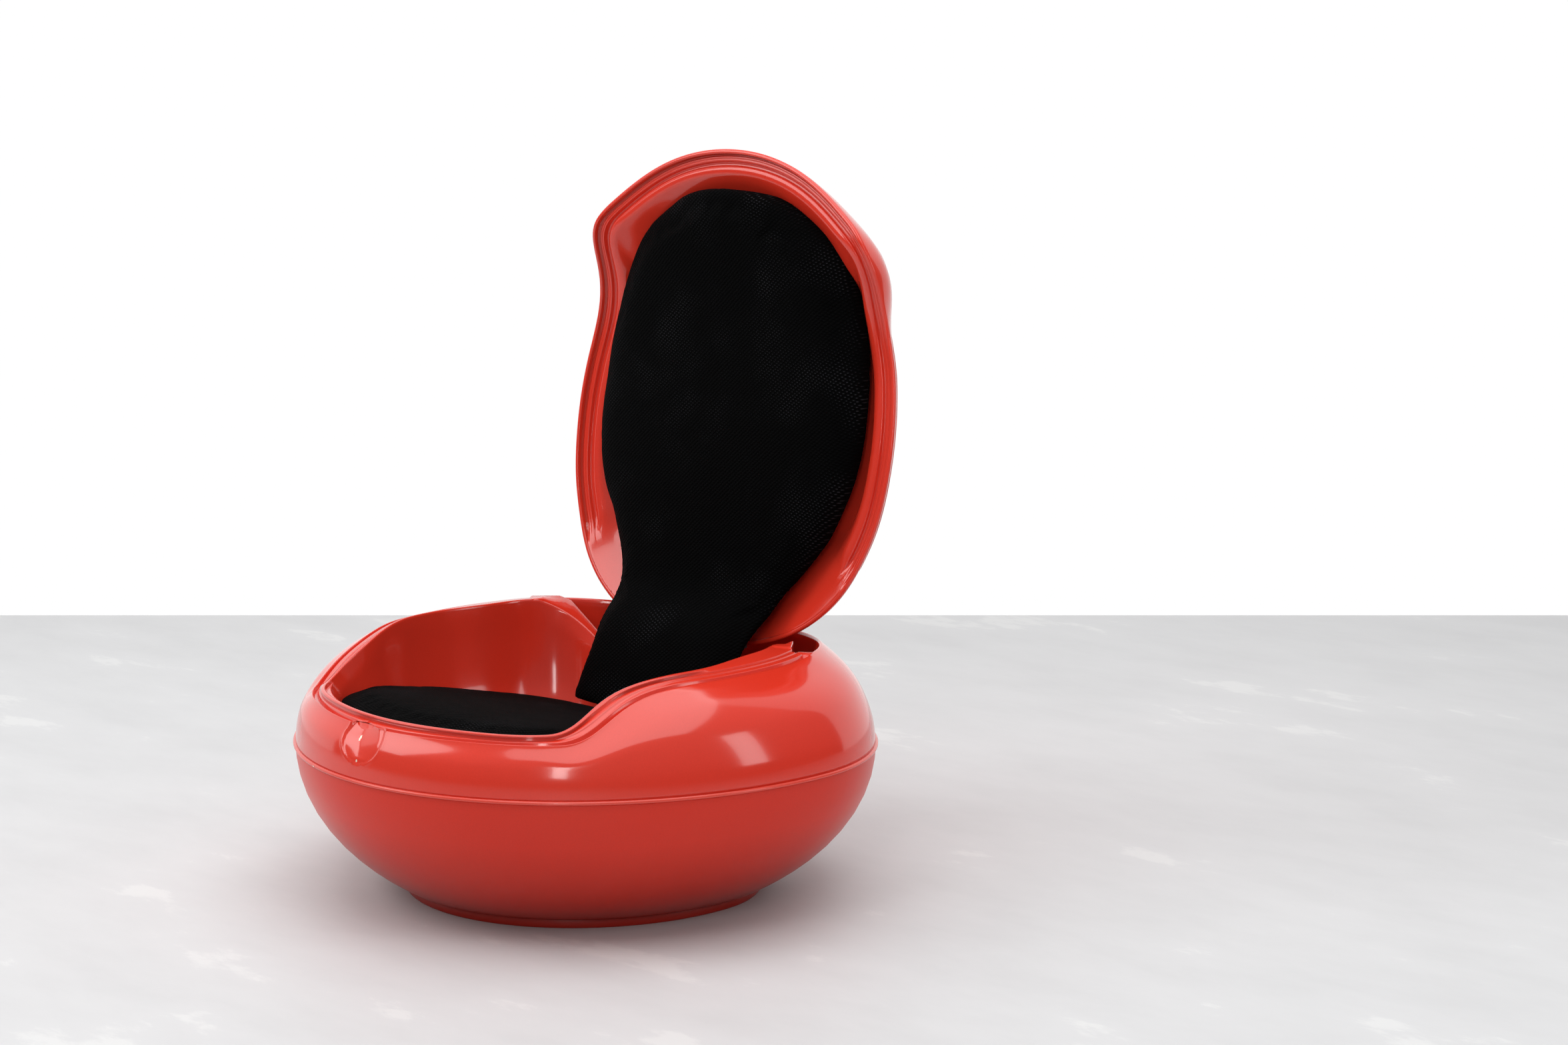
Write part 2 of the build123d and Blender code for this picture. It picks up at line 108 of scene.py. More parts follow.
class Along(Enum):
    """The axis that a cloth's pattern follows: back over a lying seat, or up a standing back."""

    SEAT = "Y"
    BACK = "Z"


# ------------------------------------------------------------------ curves and sections
def cubic(x: Array, y: Array, at: Array) -> Array:
    """Smooth curve through (x, y), evaluated at the places given."""
    count = len(x)
    h = np.diff(x)
    matrix = np.eye(count)
    right = np.zeros(count)
    for i in range(1, count - 1):
        matrix[i, i - 1:i + 2] = h[i - 1], 2 * (h[i - 1] + h[i]), h[i]
        right[i] = 6 * ((y[i + 1] - y[i]) / h[i] - (y[i] - y[i - 1]) / h[i - 1])
    bend = np.linalg.solve(matrix, right)
    index = np.clip(np.searchsorted(x, at, side="right") - 1, 0, count - 2)
    step, done = h[index], at - x[index]
    left = step - done
    return (
        (bend[index] * left**3 + bend[index + 1] * done**3) / (6 * step)
        + (y[index] / step - bend[index] * step / 6) * left
        + (y[index + 1] / step - bend[index + 1] * step / 6) * done
    )


def sections_at(table: Table, height: Array) -> Array:
    """Reads a table of sections smoothly.

    Args:
        table: rows that begin with their height.
        height: the heights wanted.

    Returns:
        One row for each further column of the table, with a value for each height.
    """
    rows = np.array(table, float)
    fine = np.linspace(rows[0, 0], rows[-1, 0], 300)
    return np.array([np.interp(height, fine, cubic(rows[:, 0], line, fine)) for line in rows.T[1:]])


def smooth_step(low: float, high: float, value: Array | float) -> Array:
    """Share from 0 to 1 that rises smoothly between low and high."""
    share = np.clip((value - low) / (high - low), 0.0, 1.0)
    return share * share * (3 - 2 * share)


def bezier(points: Pairs) -> Array:
    """Points of a cubic curve with the four control points given."""
    knots = np.array(points, float)
    t = np.linspace(0, 1, 60)[:, None]
    return (
        (1 - t) ** 3 * knots[0] + 3 * t * (1 - t) ** 2 * knots[1]
        + 3 * t * t * (1 - t) * knots[2] + t**3 * knots[3]
    )


class Outline:
    """Closed curve in plan, anticlockwise from the front centre."""

    def __init__(self, curve: Array) -> None:
        """Keeps the curve's (x, y) rows."""
        self.curve = curve

    @classmethod
    def through(cls, half: Pairs, smooth: bool = True) -> "Outline":
        """Closed curve through the right half's points and their mirror images.

        Args:
            half: (x, y) from the front centre to the back centre.
            smooth: False where it runs straight from point to point.

        Returns:
            The outline.
        """
        knots = np.array([*half, *((-x, y) for x, y in half[-2::-1])], float)
        runs = np.linalg.norm(np.diff(knots, axis=0), axis=1)
        reached = np.concatenate([[0], np.cumsum(runs)])
        places = np.linspace(0, reached[-1], CURVE_POINTS, endpoint=False)
        if not smooth:
            return cls(np.column_stack([np.interp(places, reached, line) for line in knots.T]))
        # The curve is wound once more before and after itself, so that it closes smoothly.
        turns = np.concatenate([reached[:-1] - reached[-1], reached[:-1], reached + reached[-1]])
        wound = np.vstack([knots[:-1], knots[:-1], knots])
        return cls(np.column_stack([cubic(turns, line, places) for line in wound.T]))

    @classmethod
    def pod(cls, share: float, grow: float = 0.0) -> "Outline":
        """The pod's plan, two half ellipses that meet at its widest place.

        Args:
            share: share of the full plan.
            grow: how far the curve stands out.

        Returns:
            The outline.
        """
        angle = np.linspace(-math.pi / 2, 1.5 * math.pi, CURVE_POINTS, endpoint=False)
        reach = np.where(np.sin(angle) < 0, FRONT_REACH, REAR_REACH) * share + grow
        x = (HALF_WIDTH * share + grow) * np.cos(angle)
        return cls(np.column_stack([x, WIDEST_Y * share + reach * np.sin(angle)]))

    def moved_in(self, distance: float) -> "Outline":
        """The curve moved inwards by a distance, square to itself."""
        run = np.roll(self.curve, -1, 0) - np.roll(self.curve, 1, 0)
        outward = np.column_stack([run[:, 1], -run[:, 0]])
        outward /= np.linalg.norm(outward, axis=1)[:, None]
        return Outline(self.curve - outward * distance)

    def plan(self, inset: float = 0.0) -> Array:
        """Points of the curve at the stations, moved in by an inset."""
        return self.moved_in(inset).reach(STATIONS)

    def reach(self, angles: Array) -> Array:
        """Points where rays from the middle meet the curve.

        Args:
            angles: the rays' directions in radians.

        Returns:
            One (x, y) row for each ray.
        """
        offset = self.curve - CENTRE
        direction = np.arctan2(offset[:, 1], offset[:, 0])
        order = np.argsort(direction)
        far = np.hypot(offset[:, 0], offset[:, 1])[order]
        radius = np.interp(angles, direction[order], far, period=2 * math.pi)
        return CENTRE + radius[:, None] * np.column_stack([np.cos(angles), np.sin(angles)])


def rim_height(y: Array) -> Array:
    """Height of the rim at each y: level front, swung rise, level arms, gentle fall."""
    swing = bezier([(-262, FRONT_RIM), (-215, FRONT_RIM), (-190, ARM_RIM), (-60, ARM_RIM)])
    fall = bezier([(150, ARM_RIM), (225, ARM_RIM), (310, 331), (385, 320)])
    line = np.vstack([[(-500, FRONT_RIM)], swing, fall, [(440, 312)]])
    return np.interp(y, line[:, 0], line[:, 1])


RIM_OUTER = Outline.through([
    (0, -367), (144, -336), (239, -278), (274, -228), (284, -160), (305, -80),
    (318.5, 30), (303, 146), (259, 229.5), (157, 313), (0, 346.5),
])
RIM_LIP = Outline.through([
    (0, -343), (135, -318), (222, -265), (241, -226), (245, -181), (268, -95),
    (276, -10), (262, 65), (243, 140), (205, 178), (110, 187), (0, 188),
])
LID_EDGE = Outline.through([
    (0, -371.5), (144, -342), (232, -288), (262, -262), (278, -236), (284.5, -208), (287, -176),
    (295, -125), (306, -80), (313, -42), (318, 10), (317, 70), (307, 138), (289, 190), (265, 236),
    (172, 313), (0, 340),
])
WELL_BAND = Outline.through([
    (0, -340), (240, -260), (288, 0), (290, 120), (284, 148), (268, 158), (256, 173), (241, 191),
    (228, 205), (0, 205),
], smooth=False)
BACK_RECESS = Outline.through([
    (0, -304), (120, -283), (198, -232), (242, -140), (259, -21), (257, 49),
    (243, 104), (218, 155), (160, 185), (80, 192), (0, 193),
])


def stations() -> Array:
    """Directions of the rays that every ring uses, closer where the rim turns or ends."""
    # Up to each direction on the right half, in degrees, the rays are this far apart.
    spacing = ((-78, 0.4), (-62, 2), (-30, 1), (20, 2), (34, 1), (41, 0.25), (56, 1), (90, 2))
    half = [-90.0]
    while half[-1] < 90.0 - 1e-6:
        step = next(apart for limit, apart in spacing if half[-1] < limit)
        half.append(min(90.0, half[-1] + step))
    return np.radians(np.array(half + [180.0 - angle for angle in half[-2:0:-1]]))


STATIONS = stations()
COUNT = len(STATIONS)


def lifted(plan: Array, level: Array | float) -> Array:
    """Ring over (x, y) rows, at one height or at one for each."""
    return np.column_stack([plan, np.broadcast_to(level, COUNT)])


def over_rim(plan: Array, rise: Array | float) -> Array:
    """Ring over (x, y) rows, at a rise over the rim line."""
    return lifted(plan, rim_height(plan[:, 1]) + rise)


def loft(rings: Sequence[Array], capped: bool = False) -> Mesh:
    """Skin through rings of the same count, extruded from one ring to the next.

    Args:
        rings: the rings in order; a last ring equal to the first closes the skin.
        capped: whether the first and the last ring are each drawn together to one point.

    Returns:
        The mesh in metres, with its faces pointing outwards.
    """
    mesh = bmesh.new()
    first = list(bmesh.ops.create_circle(mesh, segments=len(rings[0]), radius=1.0)["verts"])
    line = first
    for vert, spot in zip(line, rings[0]):
        vert.co = Vector(spot) * MM
    edges = list(mesh.edges)
    for row in rings[1:]:
        grown = bmesh.ops.extrude_edge_only(mesh, edges=edges)["geom"]
        index = {vert: i for i, vert in enumerate(line)}
        line = [line[0]] * len(line)
        for vert in (item for item in grown if isinstance(item, bmesh.types.BMVert)):
            for source in (edge.other_vert(vert) for edge in vert.link_edges):
                if source in index:
                    line[index[source]] = vert
        for vert, spot in zip(line, row):
            vert.co = Vector(spot) * MM
        kept = set(line)
        edges = [
            item for item in grown
            if isinstance(item, bmesh.types.BMEdge) and set(item.verts) <= kept
        ]
    for end in (line, first) if capped else ():
        middle = sum((vert.co for vert in end), Vector()) / len(end)
        bmesh.ops.pointmerge(mesh, verts=end, merge_co=middle)
    bmesh.ops.remove_doubles(mesh, verts=mesh.verts, dist=1e-6)
    bmesh.ops.recalc_face_normals(mesh, faces=mesh.faces)
    return mesh


def turned_open(mesh: Mesh) -> Mesh:
    """Turns a mesh that is drawn shut about the hinge to where the open lid stands."""
    hinge = Vector((0, HINGE_Y, HINGE_Z)) * MM
    turn = Matrix.Rotation(OPEN_TURN, 3, "X")
    bmesh.ops.rotate(mesh, verts=mesh.verts, cent=hinge, matrix=turn)
    return mesh


def to_object(name: str, mesh: Mesh, finish: "Finish") -> Piece:
    """Makes a smooth, dressed object of a mesh.

    Args:
        name: the piece's name.
        mesh: its mesh, which is used up.
        finish: what it is finished in.

    Returns:
        The object.
    """
    for face in mesh.faces:
        face.smooth = True
    data = bpy.data.meshes.new(name)
    mesh.to_mesh(data)
    mesh.free()
    data.materials.append(finish.material())
    made = bpy.data.objects.new(name, data)
    bpy.context.scene.collection.objects.link(made)
    return made


def place(name: str, mesh: Mesh, finish: "Finish", body: Body, node: str) -> Piece:
    """Makes a piece ride on its body and stand for its CAD node.

    Args:
        name: the piece's name.
        mesh: its mesh, which is used up.
        finish: its finish, which names the material slot. A cloth is settled over its foam first.
        body: the body it moves with.
        node: the CAD node it stands for.

    Returns:
        The piece.
    """
    piece = to_object(name, mesh, finish)
    if isinstance(finish, RibbedCloth):
        COVER.settle(piece)
    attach(piece, body.value)
    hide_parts(node)
    LOG.info("%s rides on %s, %d faces", name, body.value, len(piece.data.polygons))
    return piece


# ------------------------------------------------------------------ finishes
# A noise's Scale is 1000 divided by the size of its pattern in millimetres.
def colour(code: str) -> tuple[float, float, float, float]:
    """Turns an sRGB hex value to the linear colour that shaders take."""
    parts = [int(code[i:i + 2], 16) / 255 for i in (1, 3, 5)]
    linear = [p / 12.92 if p <= 0.04045 else ((p + 0.055) / 1.055) ** 2.4 for p in parts]
    return (linear[0], linear[1], linear[2], 1.0)


def add(
    tree: Tree, kind: str, inputs: dict, stops: Sequence[tuple[float, str]] = (), **settings
) -> Node:
    """Adds a shader node with its settings and links.

    Args:
        tree: the node tree.
        kind: the node's type name, without ShaderNode.
        inputs: a value, a socket, or a node whose first output counts, for each input.
        stops: positions and sRGB values, where it is a colour ramp.
        settings: the node's own settings.

    Returns:
        The node.
    """
    made = tree.nodes.new("ShaderNode" + kind)
    for name, value in settings.items():
        setattr(made, name, value)
    for name, value in inputs.items():
        if isinstance(value, Node):
            value = value.outputs[0]
        if isinstance(value, Socket):
            tree.links.new(value, made.inputs[name])
        else:
            made.inputs[name].default_value = value
    if stops:
        band = made.color_ramp.elements
        while len(band) < len(stops):
            band.new(0.5)
        for element, (position, code) in zip(band, stops):
            element.position, element.color = position, colour(code)
    return made


@dataclass(frozen=True)
class Finish:
    """A plain moulded finish with a fine grain: name, record slot, colour and roughness."""

    name: str
    slot: str
    body: str
    roughness: float

    def material(self) -> bpy.types.Material:
        """The finish's material, made once."""
        made = bpy.data.materials.get(self.name)
        if not made:
            made = bpy.data.materials.new(self.name)
            made.use_nodes = True
            tree = made.node_tree
            tree.nodes.clear()
            shader = self.shade(tree, add(tree, "TexCoord", {}).outputs["Object"])
            add(tree, "OutputMaterial", {"Surface": shader})
        return made

    def shade(self, tree: Tree, where: Socket) -> Node:
        """Builds the shader.

        Args:
            tree: the material's node tree.
            where: the piece's own coordinates.

        Returns:
            The shader node.
        """
        # A grain of about 1.1 mm.
        grain = add(tree, "TexNoise", {"Vector": where, "Scale": 900.0, "Detail": 3.0})
        relief = add(tree, "Bump", {"Height": grain, "Strength": 0.25, "Distance": 0.0002})
        tone = add(tree, "ValToRGB", {"Fac": grain}, ((0.3, self.body), (0.8, self.body)))
        return add(tree, "BsdfPrincipled", {
            "Base Color": tone, "Roughness": self.roughness, "Normal": relief})


@dataclass(frozen=True)
class Lacquer(Finish):
    """Glossy polyurethane lacquer over a moulded rigid-foam shell.

    The lacquer is thick and flowed out, so it mirrors softly with a slight orange peel, is a
    little uneven in tone, and shows hairline scratches and, on edges, the pale foam under chips.
    """

    faded: str
    coat: float = 0.3
    mirror: float = 0.5
    # Strength of the painted shade that darkens the paint towards the floor.
    painted_shade: float = 0.0
    knocks: Table = ()
    chipped: bool = False

    def shade(self, tree: Tree, where: Socket) -> Node:
        """Builds the shader, as in Finish."""
        # The tone drifts over some 330 mm, the pigment specks are 1.4 mm.
        clouds = add(tree, "TexNoise", {"Vector": where, "Scale": 3.0, "Detail": 2.0})
        speck = add(tree, "TexNoise", {
            "Vector": where, "Scale": 700.0, "Detail": 2.0, "Roughness": 0.7})
        tone = add(tree, "ValToRGB", {"Fac": clouds}, ((0.3, self.body), (0.75, self.faded)))
        fine = add(tree, "ValToRGB", {"Fac": speck}, ((0.35, "#F0F0F0"), (0.62, "#FFFFFF")))
        paint = add(tree, "Mix", {"Factor": 0.5, 6: tone, 7: fine},
                    data_type="RGBA", blend_type="MULTIPLY").outputs[2]
        # Hairlines about 70 mm long and 2.4 mm apart, which roughen the gloss.
        drawn = add(tree, "Mapping", {
            "Vector": where, "Scale": (14.0, 14.0, 420.0), "Rotation": (0.6, 0.35, 0.9)})
        scratches = add(tree, "TexNoise", {
            "Vector": drawn, "Scale": 1.0, "Detail": 4.0, "Roughness": 0.65})
        hair = add(tree, "MapRange", {
            "Value": scratches, "From Min": 0.70, "From Max": 0.78, "To Max": 0.08})
        gloss = add(tree, "MapRange", {
            "Value": clouds, "From Min": 0.3, "From Max": 0.7,
            "To Min": self.roughness * 0.9, "To Max": self.roughness * 1.15})
        # Orange peel of about 3 mm.
        peel = add(tree, "TexNoise", {"Vector": where, "Scale": 330.0, "Detail": 1.0})
        for mask, shade in self.marks(tree, where):
            paint = add(tree, "Mix", {"Factor": mask, 6: paint, 7: colour(shade)},
                        data_type="RGBA").outputs[2]
        return add(tree, "BsdfPrincipled", {
            "Base Color": paint, "Roughness": add(tree, "Math", {0: hair, 1: gloss}),
            "Normal": add(tree, "Bump", {"Height": peel, "Strength": 0.05, "Distance": 0.0004}),
            "IOR": 1.48, "Specular IOR Level": self.mirror,
            "Coat Weight": self.coat, "Coat Roughness": 0.05})

    def marks(self, tree: Tree, where: Socket) -> list[tuple[Node, str]]:
        """What lies on the paint: chips along the bead's lower edge, knocks, and painted shade that
        darkens it towards the floor.

        Args:
            tree: the material's node tree.
            where: the piece's own coordinates.

        Returns:
            A mask and an sRGB value for each.
        """
        found = []
        level = add(tree, "SeparateXYZ", {"Vector": where}).outputs["Z"]
        if self.chipped:
            # A chip of 1 to 4 mm in about every 26 mm, with a rim ragged over 2 mm.
            flakes = add(tree, "TexVoronoi", {"Vector": where, "Scale": 38.0})
            ragged = add(tree, "TexNoise", {"Vector": where, "Scale": 500.0, "Detail": 2.0})
            size = add(tree, "Math", {0: ragged, 1: 0.10, 2: flakes}, operation="MULTIPLY_ADD")
            near = add(tree, "Math", {0: size, 1: 0.13}, operation="LESS_THAN")
            low = add(tree, "Math", {0: level, 1: 0.2128}, operation="LESS_THAN")
            found.append((add(tree, "Math", {0: near, 1: low}, operation="MULTIPLY"), "#E9D3B4"))
        for x, y, z, radius in self.knocks:
            # A knock is stretched by these shares, and its rim is ragged over 2.4 mm.
            narrow = Vector((1.0, 0.1, 0.62))
            ragged = add(tree, "TexNoise", {"Vector": where, "Scale": 420.0, "Detail": 2.0})
            spot = add(tree, "Mapping", {"Vector": where, "Scale": narrow})
            away = add(tree, "VectorMath", {
                0: spot, 1: Vector((x, y, z)) * narrow * MM}, operation="DISTANCE")
            size = add(tree, "Math", {
                0: ragged, 1: radius * MM, 2: away.outputs["Value"]}, operation="MULTIPLY_ADD")
            hit = add(tree, "Math", {0: size, 1: 1.25 * radius * MM}, operation="LESS_THAN")
            found.append((hit, "#EFE0CC"))
        # Painted shade: the paint darkens from 150 mm down to 10 mm over the floor, where less
        # light reaches.
        if self.painted_shade:
            found.append((add(tree, "MapRange", {
                "Value": level, "From Min": 0.01, "From Max": 0.15,
                "To Min": self.painted_shade, "To Max": 0.0}), "#6A1009"))
        return found


@dataclass(frozen=True)
class RibbedCloth(Finish):
    """Black upholstery wool in a small diagonal rib, woven, matt with a faint sheen."""

    lie: Along

    def shade(self, tree: Tree, where: Socket) -> Node:
        """Builds the shader, as in Finish."""
        apart = add(tree, "SeparateXYZ", {"Vector": where})
        flat = add(tree, "CombineXYZ", {"X": apart, "Y": apart.outputs[self.lie.value]})
        # The rib repeats every 6.2 by 3.6 mm, a little coarser than the real one so that it shows.
        turned = add(tree, "Mapping", {
            "Vector": flat, "Rotation": (0.0, 0.0, math.radians(32.0)),
            "Scale": (1 / 0.0062, 1 / 0.0036, 1.0)})
        knots = add(tree, "TexVoronoi", {
            "Vector": turned, "Scale": 1.0, "Randomness": 0.18}, voronoi_dimensions="2D")
        # Fuzz of 0.7 mm, and broad patches of 110 mm where the nap lies differently.
        fuzz = add(tree, "TexNoise", {"Vector": where, "Scale": 1400.0, "Detail": 2.0})
        broad = add(tree, "TexNoise", {"Vector": where, "Scale": 9.0, "Detail": 3.0})
        hill = add(tree, "MapRange", {
            "Value": knots, "From Min": 0.05, "From Max": 0.6, "To Min": 1.0, "To Max": 0.0})
        nap = add(tree, "MapRange", {
            "Value": broad, "From Min": 0.35, "From Max": 0.7, "To Min": 0.45, "To Max": 1.1})
        lit = add(tree, "Math", {0: hill, 1: nap}, operation="MULTIPLY")
        # Painted highlight and shade: the rib's raised tops are lighter and its hollows go to
        # black, as light falls on the weave; the nap patches vary the tone at random.
        tone = add(tree, "ValToRGB", {"Fac": lit}, (
            (0.0, "#000000"), (0.62, self.body), (1.0, "#2C2C2F")))
        height = add(tree, "Math", {0: fuzz, 1: 0.25, 2: hill}, operation="MULTIPLY_ADD")
        return add(tree, "BsdfPrincipled", {
            "Base Color": tone, "Roughness": self.roughness, "Specular IOR Level": 0.05,
            "Normal": add(tree, "Bump", {"Height": height, "Strength": 1.0, "Distance": 0.0014})})


@dataclass(frozen=True)
class Metal(Finish):
    """Zinc-plated or ground steel: a bare metal with fine uneven gloss."""

    def shade(self, tree: Tree, where: Socket) -> Node:
        """Builds the shader, as in Finish."""
        # Spangle of about 4 mm.
        spangle = add(tree, "TexNoise", {"Vector": where, "Scale": 260.0, "Detail": 3.0})
        rough = add(tree, "MapRange", {
            "Value": spangle, "To Min": self.roughness * 0.7, "To Max": self.roughness * 1.4})
        tone = add(tree, "ValToRGB", {"Fac": spangle}, ((0.3, self.body), (0.75, "#C9CCD0")))
        return add(tree, "BsdfPrincipled", {
            "Base Color": tone, "Metallic": 1.0, "Roughness": rough})


RED_GLOSS = Lacquer(
    "red_gloss_lacquer", "red_shell", "#E03422", 0.14, faded="#DE3B2A",
    knocks=((-23, -366, 266, 2.6), (-13, -375, 239, 2.2)))
RED_SATIN = Lacquer(
    "red_satin_lacquer", "red_shell", "#DC2E1C", 0.30, faded="#DA3422", coat=0.0, mirror=0.3,
    painted_shade=0.6)
# The bead wears the shell's own paint, drawn lighter and pinker than RED_GLOSS: a painted highlight
# for the light that its upturned face catches.
RED_BEAD = Lacquer("red_bead_lacquer", "red_bead", "#E2402F", 0.22, faded="#E2493A", chipped=True)
SEAT_CLOTH = RibbedCloth("black_ribbed_cloth_seat", "black_cloth", "#020203", 0.9, Along.SEAT)
BACK_CLOTH = RibbedCloth("black_ribbed_cloth_back", "black_cloth", "#020203", 0.9, Along.BACK)
ZINC = Metal("zinc_plated_steel", "zinc_steel", "#8F949A", 0.34)
GROUND = Metal("ground_steel", "bright_steel", "#9DA1A6", 0.2)
NYLON = Finish("white_nylon", "nylon", "#D8D2C2", 0.45)
RUBBER = Finish("black_rubber", "black_rubber", "#141414", 0.7)
DARK_PLASTIC = Finish("black_plastic", "dark_plastic", "#151515", 0.5)
PLYWOOD = Finish("birch_plywood", "plywood", "#B08A5A", 0.6)


@dataclass(frozen=True)
class Cover:
    """A sewn cover that is drawn tight over its foam, worked out as cloth blown up from inside."""

    cell: float = 0.0055
    pressure: float = 4.0
    frames: int = 16
    travel: float = 0.005

    def settle(self, piece: Piece) -> None:
        """Replaces the piece's mesh by the cover's, evenly meshed and settled.

        Args:
            piece: the pad, drawn a little small.
        """
        remesh = piece.modifiers.new("even_mesh", "REMESH")
        remesh.mode = "VOXEL"
        remesh.voxel_size = self.cell
        self.keep(piece)
        start = np.array([vert.co[:] for vert in piece.data.vertices])
        cloth = piece.modifiers.new("cover", "CLOTH")
        settings = cloth.settings
        settings.quality = 5
        settings.mass = 0.3
        settings.tension_stiffness = settings.compression_stiffness = 25.0
        settings.shear_stiffness = 12.0
        settings.bending_stiffness = 0.8
        settings.use_pressure = True
        settings.uniform_pressure_force = self.pressure
        settings.effector_weights.gravity = 0.0
        cloth.collision_settings.use_collision = False
        scene = bpy.context.scene
        for frame in range(1, self.frames + 1):
            scene.frame_set(frame)
        self.keep(piece)
        scene.frame_set(1)
        moved = np.array([vert.co[:] for vert in piece.data.vertices]) - start
        length = np.linalg.norm(moved, axis=1)[:, None]
        moved *= np.minimum(1.0, self.travel / np.maximum(length, 1e-9))
        piece.data.vertices.foreach_set("co", (start + moved).ravel())
        piece.data.update()
        LOG.info("%s settled, %.1f mm at most", piece.name, min(length.max(), self.travel) / MM)

    def keep(self, piece: Piece) -> None:
        """Makes the modifiers' result the piece's own mesh."""
        graph = bpy.context.evaluated_depsgraph_get()
        graph.update()
        made = bpy.data.meshes.new_from_object(piece.evaluated_get(graph))
        finish = piece.data.materials[0]
        piece.modifiers.clear()
        made.materials.clear()
        made.materials.append(finish)
        made.polygons.foreach_set("use_smooth", [True] * len(made.polygons))
        piece.data = made


COVER = Cover()


# ------------------------------------------------------------------ base
@dataclass
class Bowl:
    """The lower shell and its foot ring."""

    foot_height: float = 15.0
    depth: float = 256.0
    wall: float = 7.0
    foot_share: float = 0.6215
    foot_width: float = 30.0
    heights: tuple[float, ...] = (
        18, 22, 28, 36, 48, 62, 80, 100, 122, 146, 170, 192, 204, 208.6)

    def row(self, height: float, grow: float = 0.0) -> Array:
        """Ring on the bowl's skin at a height, or so far outside it."""
        share = math.sqrt(1 - ((SEAM - height) / self.depth) ** 2)
        return lifted(Outline.pod(share, grow).plan(), height)

    def shell(self) -> Mesh:
        """The bowl, closed round its wall."""
        low = self.foot_height
        rings = [lifted(Outline.pod(share).plan(), low) for share in (0.05, self.foot_share - 0.03)]
        rings += [self.row(height) for height in (low, *self.heights, SEAM)]
        inner = [height for height in reversed(self.heights) if height > low + self.wall]
        rings += [self.row(height, -self.wall) for height in (SEAM, *inner)]
        rings += [lifted(Outline.pod(share).plan(), low + self.wall) for share in (0.3, 0.05)]
        return loft(rings, capped=True)

    def foot(self) -> Mesh:
        """The foot ring with softened edges."""
        top, width = self.foot_height, self.foot_width
        section = [
            (1.2, 0.0), (0.2, 1.4), (0.0, 4.0), (0.0, top - 1), (1.0, top), (width - 1, top),
            (width, top - 1), (width, 4.0), (width - 0.2, 1.4), (width - 1.2, 0.0), (1.2, 0.0),
        ]
        return loft([
            lifted(Outline.pod(self.foot_share, -inset).plan(), z) for inset, z in section])

    def build(self) -> None:
        """Builds and places the bowl and its foot."""
        place("lower_bowl", self.shell(), RED_SATIN, Body.BASE, "lower_shell")
        place("foot_rim", self.foot(), RED_SATIN, Body.BASE, "foot_ring")


@dataclass
class SeamBead:
    """The raised bead over the joint of the two base shells."""

    proud: float = 3.5
    root: float = -7.0

    def build(self) -> None:
        """Builds and places the bead."""
        section = [
            (self.root, SEAM), (0.5, SEAM), (self.proud - 0.7, SEAM + 0.3),
            (self.proud, SEAM + 1.5), (self.proud - 0.1, BEAD_TOP - 1.8),
            (self.proud - 1.3, BEAD_TOP - 0.4), (0.2, BEAD_TOP), (self.root, BEAD_TOP),
            (self.root, SEAM),
        ]
        strip = loft([lifted(Outline.pod(1.0, grow).plan(), z) for grow, z in section])
        place("seam_strip", strip, RED_BEAD, Body.BASE, "seam_bead")


@dataclass
class Grip:
    """The finger recess at the front of the rim, a U-shaped scoop with a crease down its middle."""

    centre: float = -12.0
    half_width: float = 42.0
    tall: float = 47.0
    deep: float = 11.0

    def depth(self, x: Array, z: Array) -> Array:
        """How far the wall is pushed in at each place, or out where negative.

        Args:
            x: distances from the middle.
            z: heights.

        Returns:
            Depths, 0 outside the recess.
        """
        down = np.clip((FRONT_RIM - z) / self.tall, 0.0, 1.3)
        low = np.clip((down - 0.3) / 0.7, 0.0, 1.0)
        half = self.half_width * (0.9 + 0.1 * np.clip(down / 0.3, 0.0, 1.0)) * np.sqrt(1 - low**2.3)
        across = x - self.centre
        inside = np.where(half > 1.0, 1.0 - np.abs(across / np.maximum(half, 1e-3)), -1.0)
        crease = (across - 2.0 + 16.0 * np.clip(1 - down, 0, 1)) / np.maximum(half, 1e-3)
        valley = np.clip(1 - np.abs(crease) ** 1.1, 0.0, 1.0)
        hollow = self.deep * valley * np.clip(1 - down / 0.86, 0.0, 1.0) ** 0.9
        lowered = smooth_step(0.0, 0.10, inside)
        ridge = -0.9 * np.exp(-((inside * half / 1.8) ** 2)) * (down < 1.15) * (half > 1.0)
        return lowered * (1.2 + hollow) + ridge * (1 - lowered)


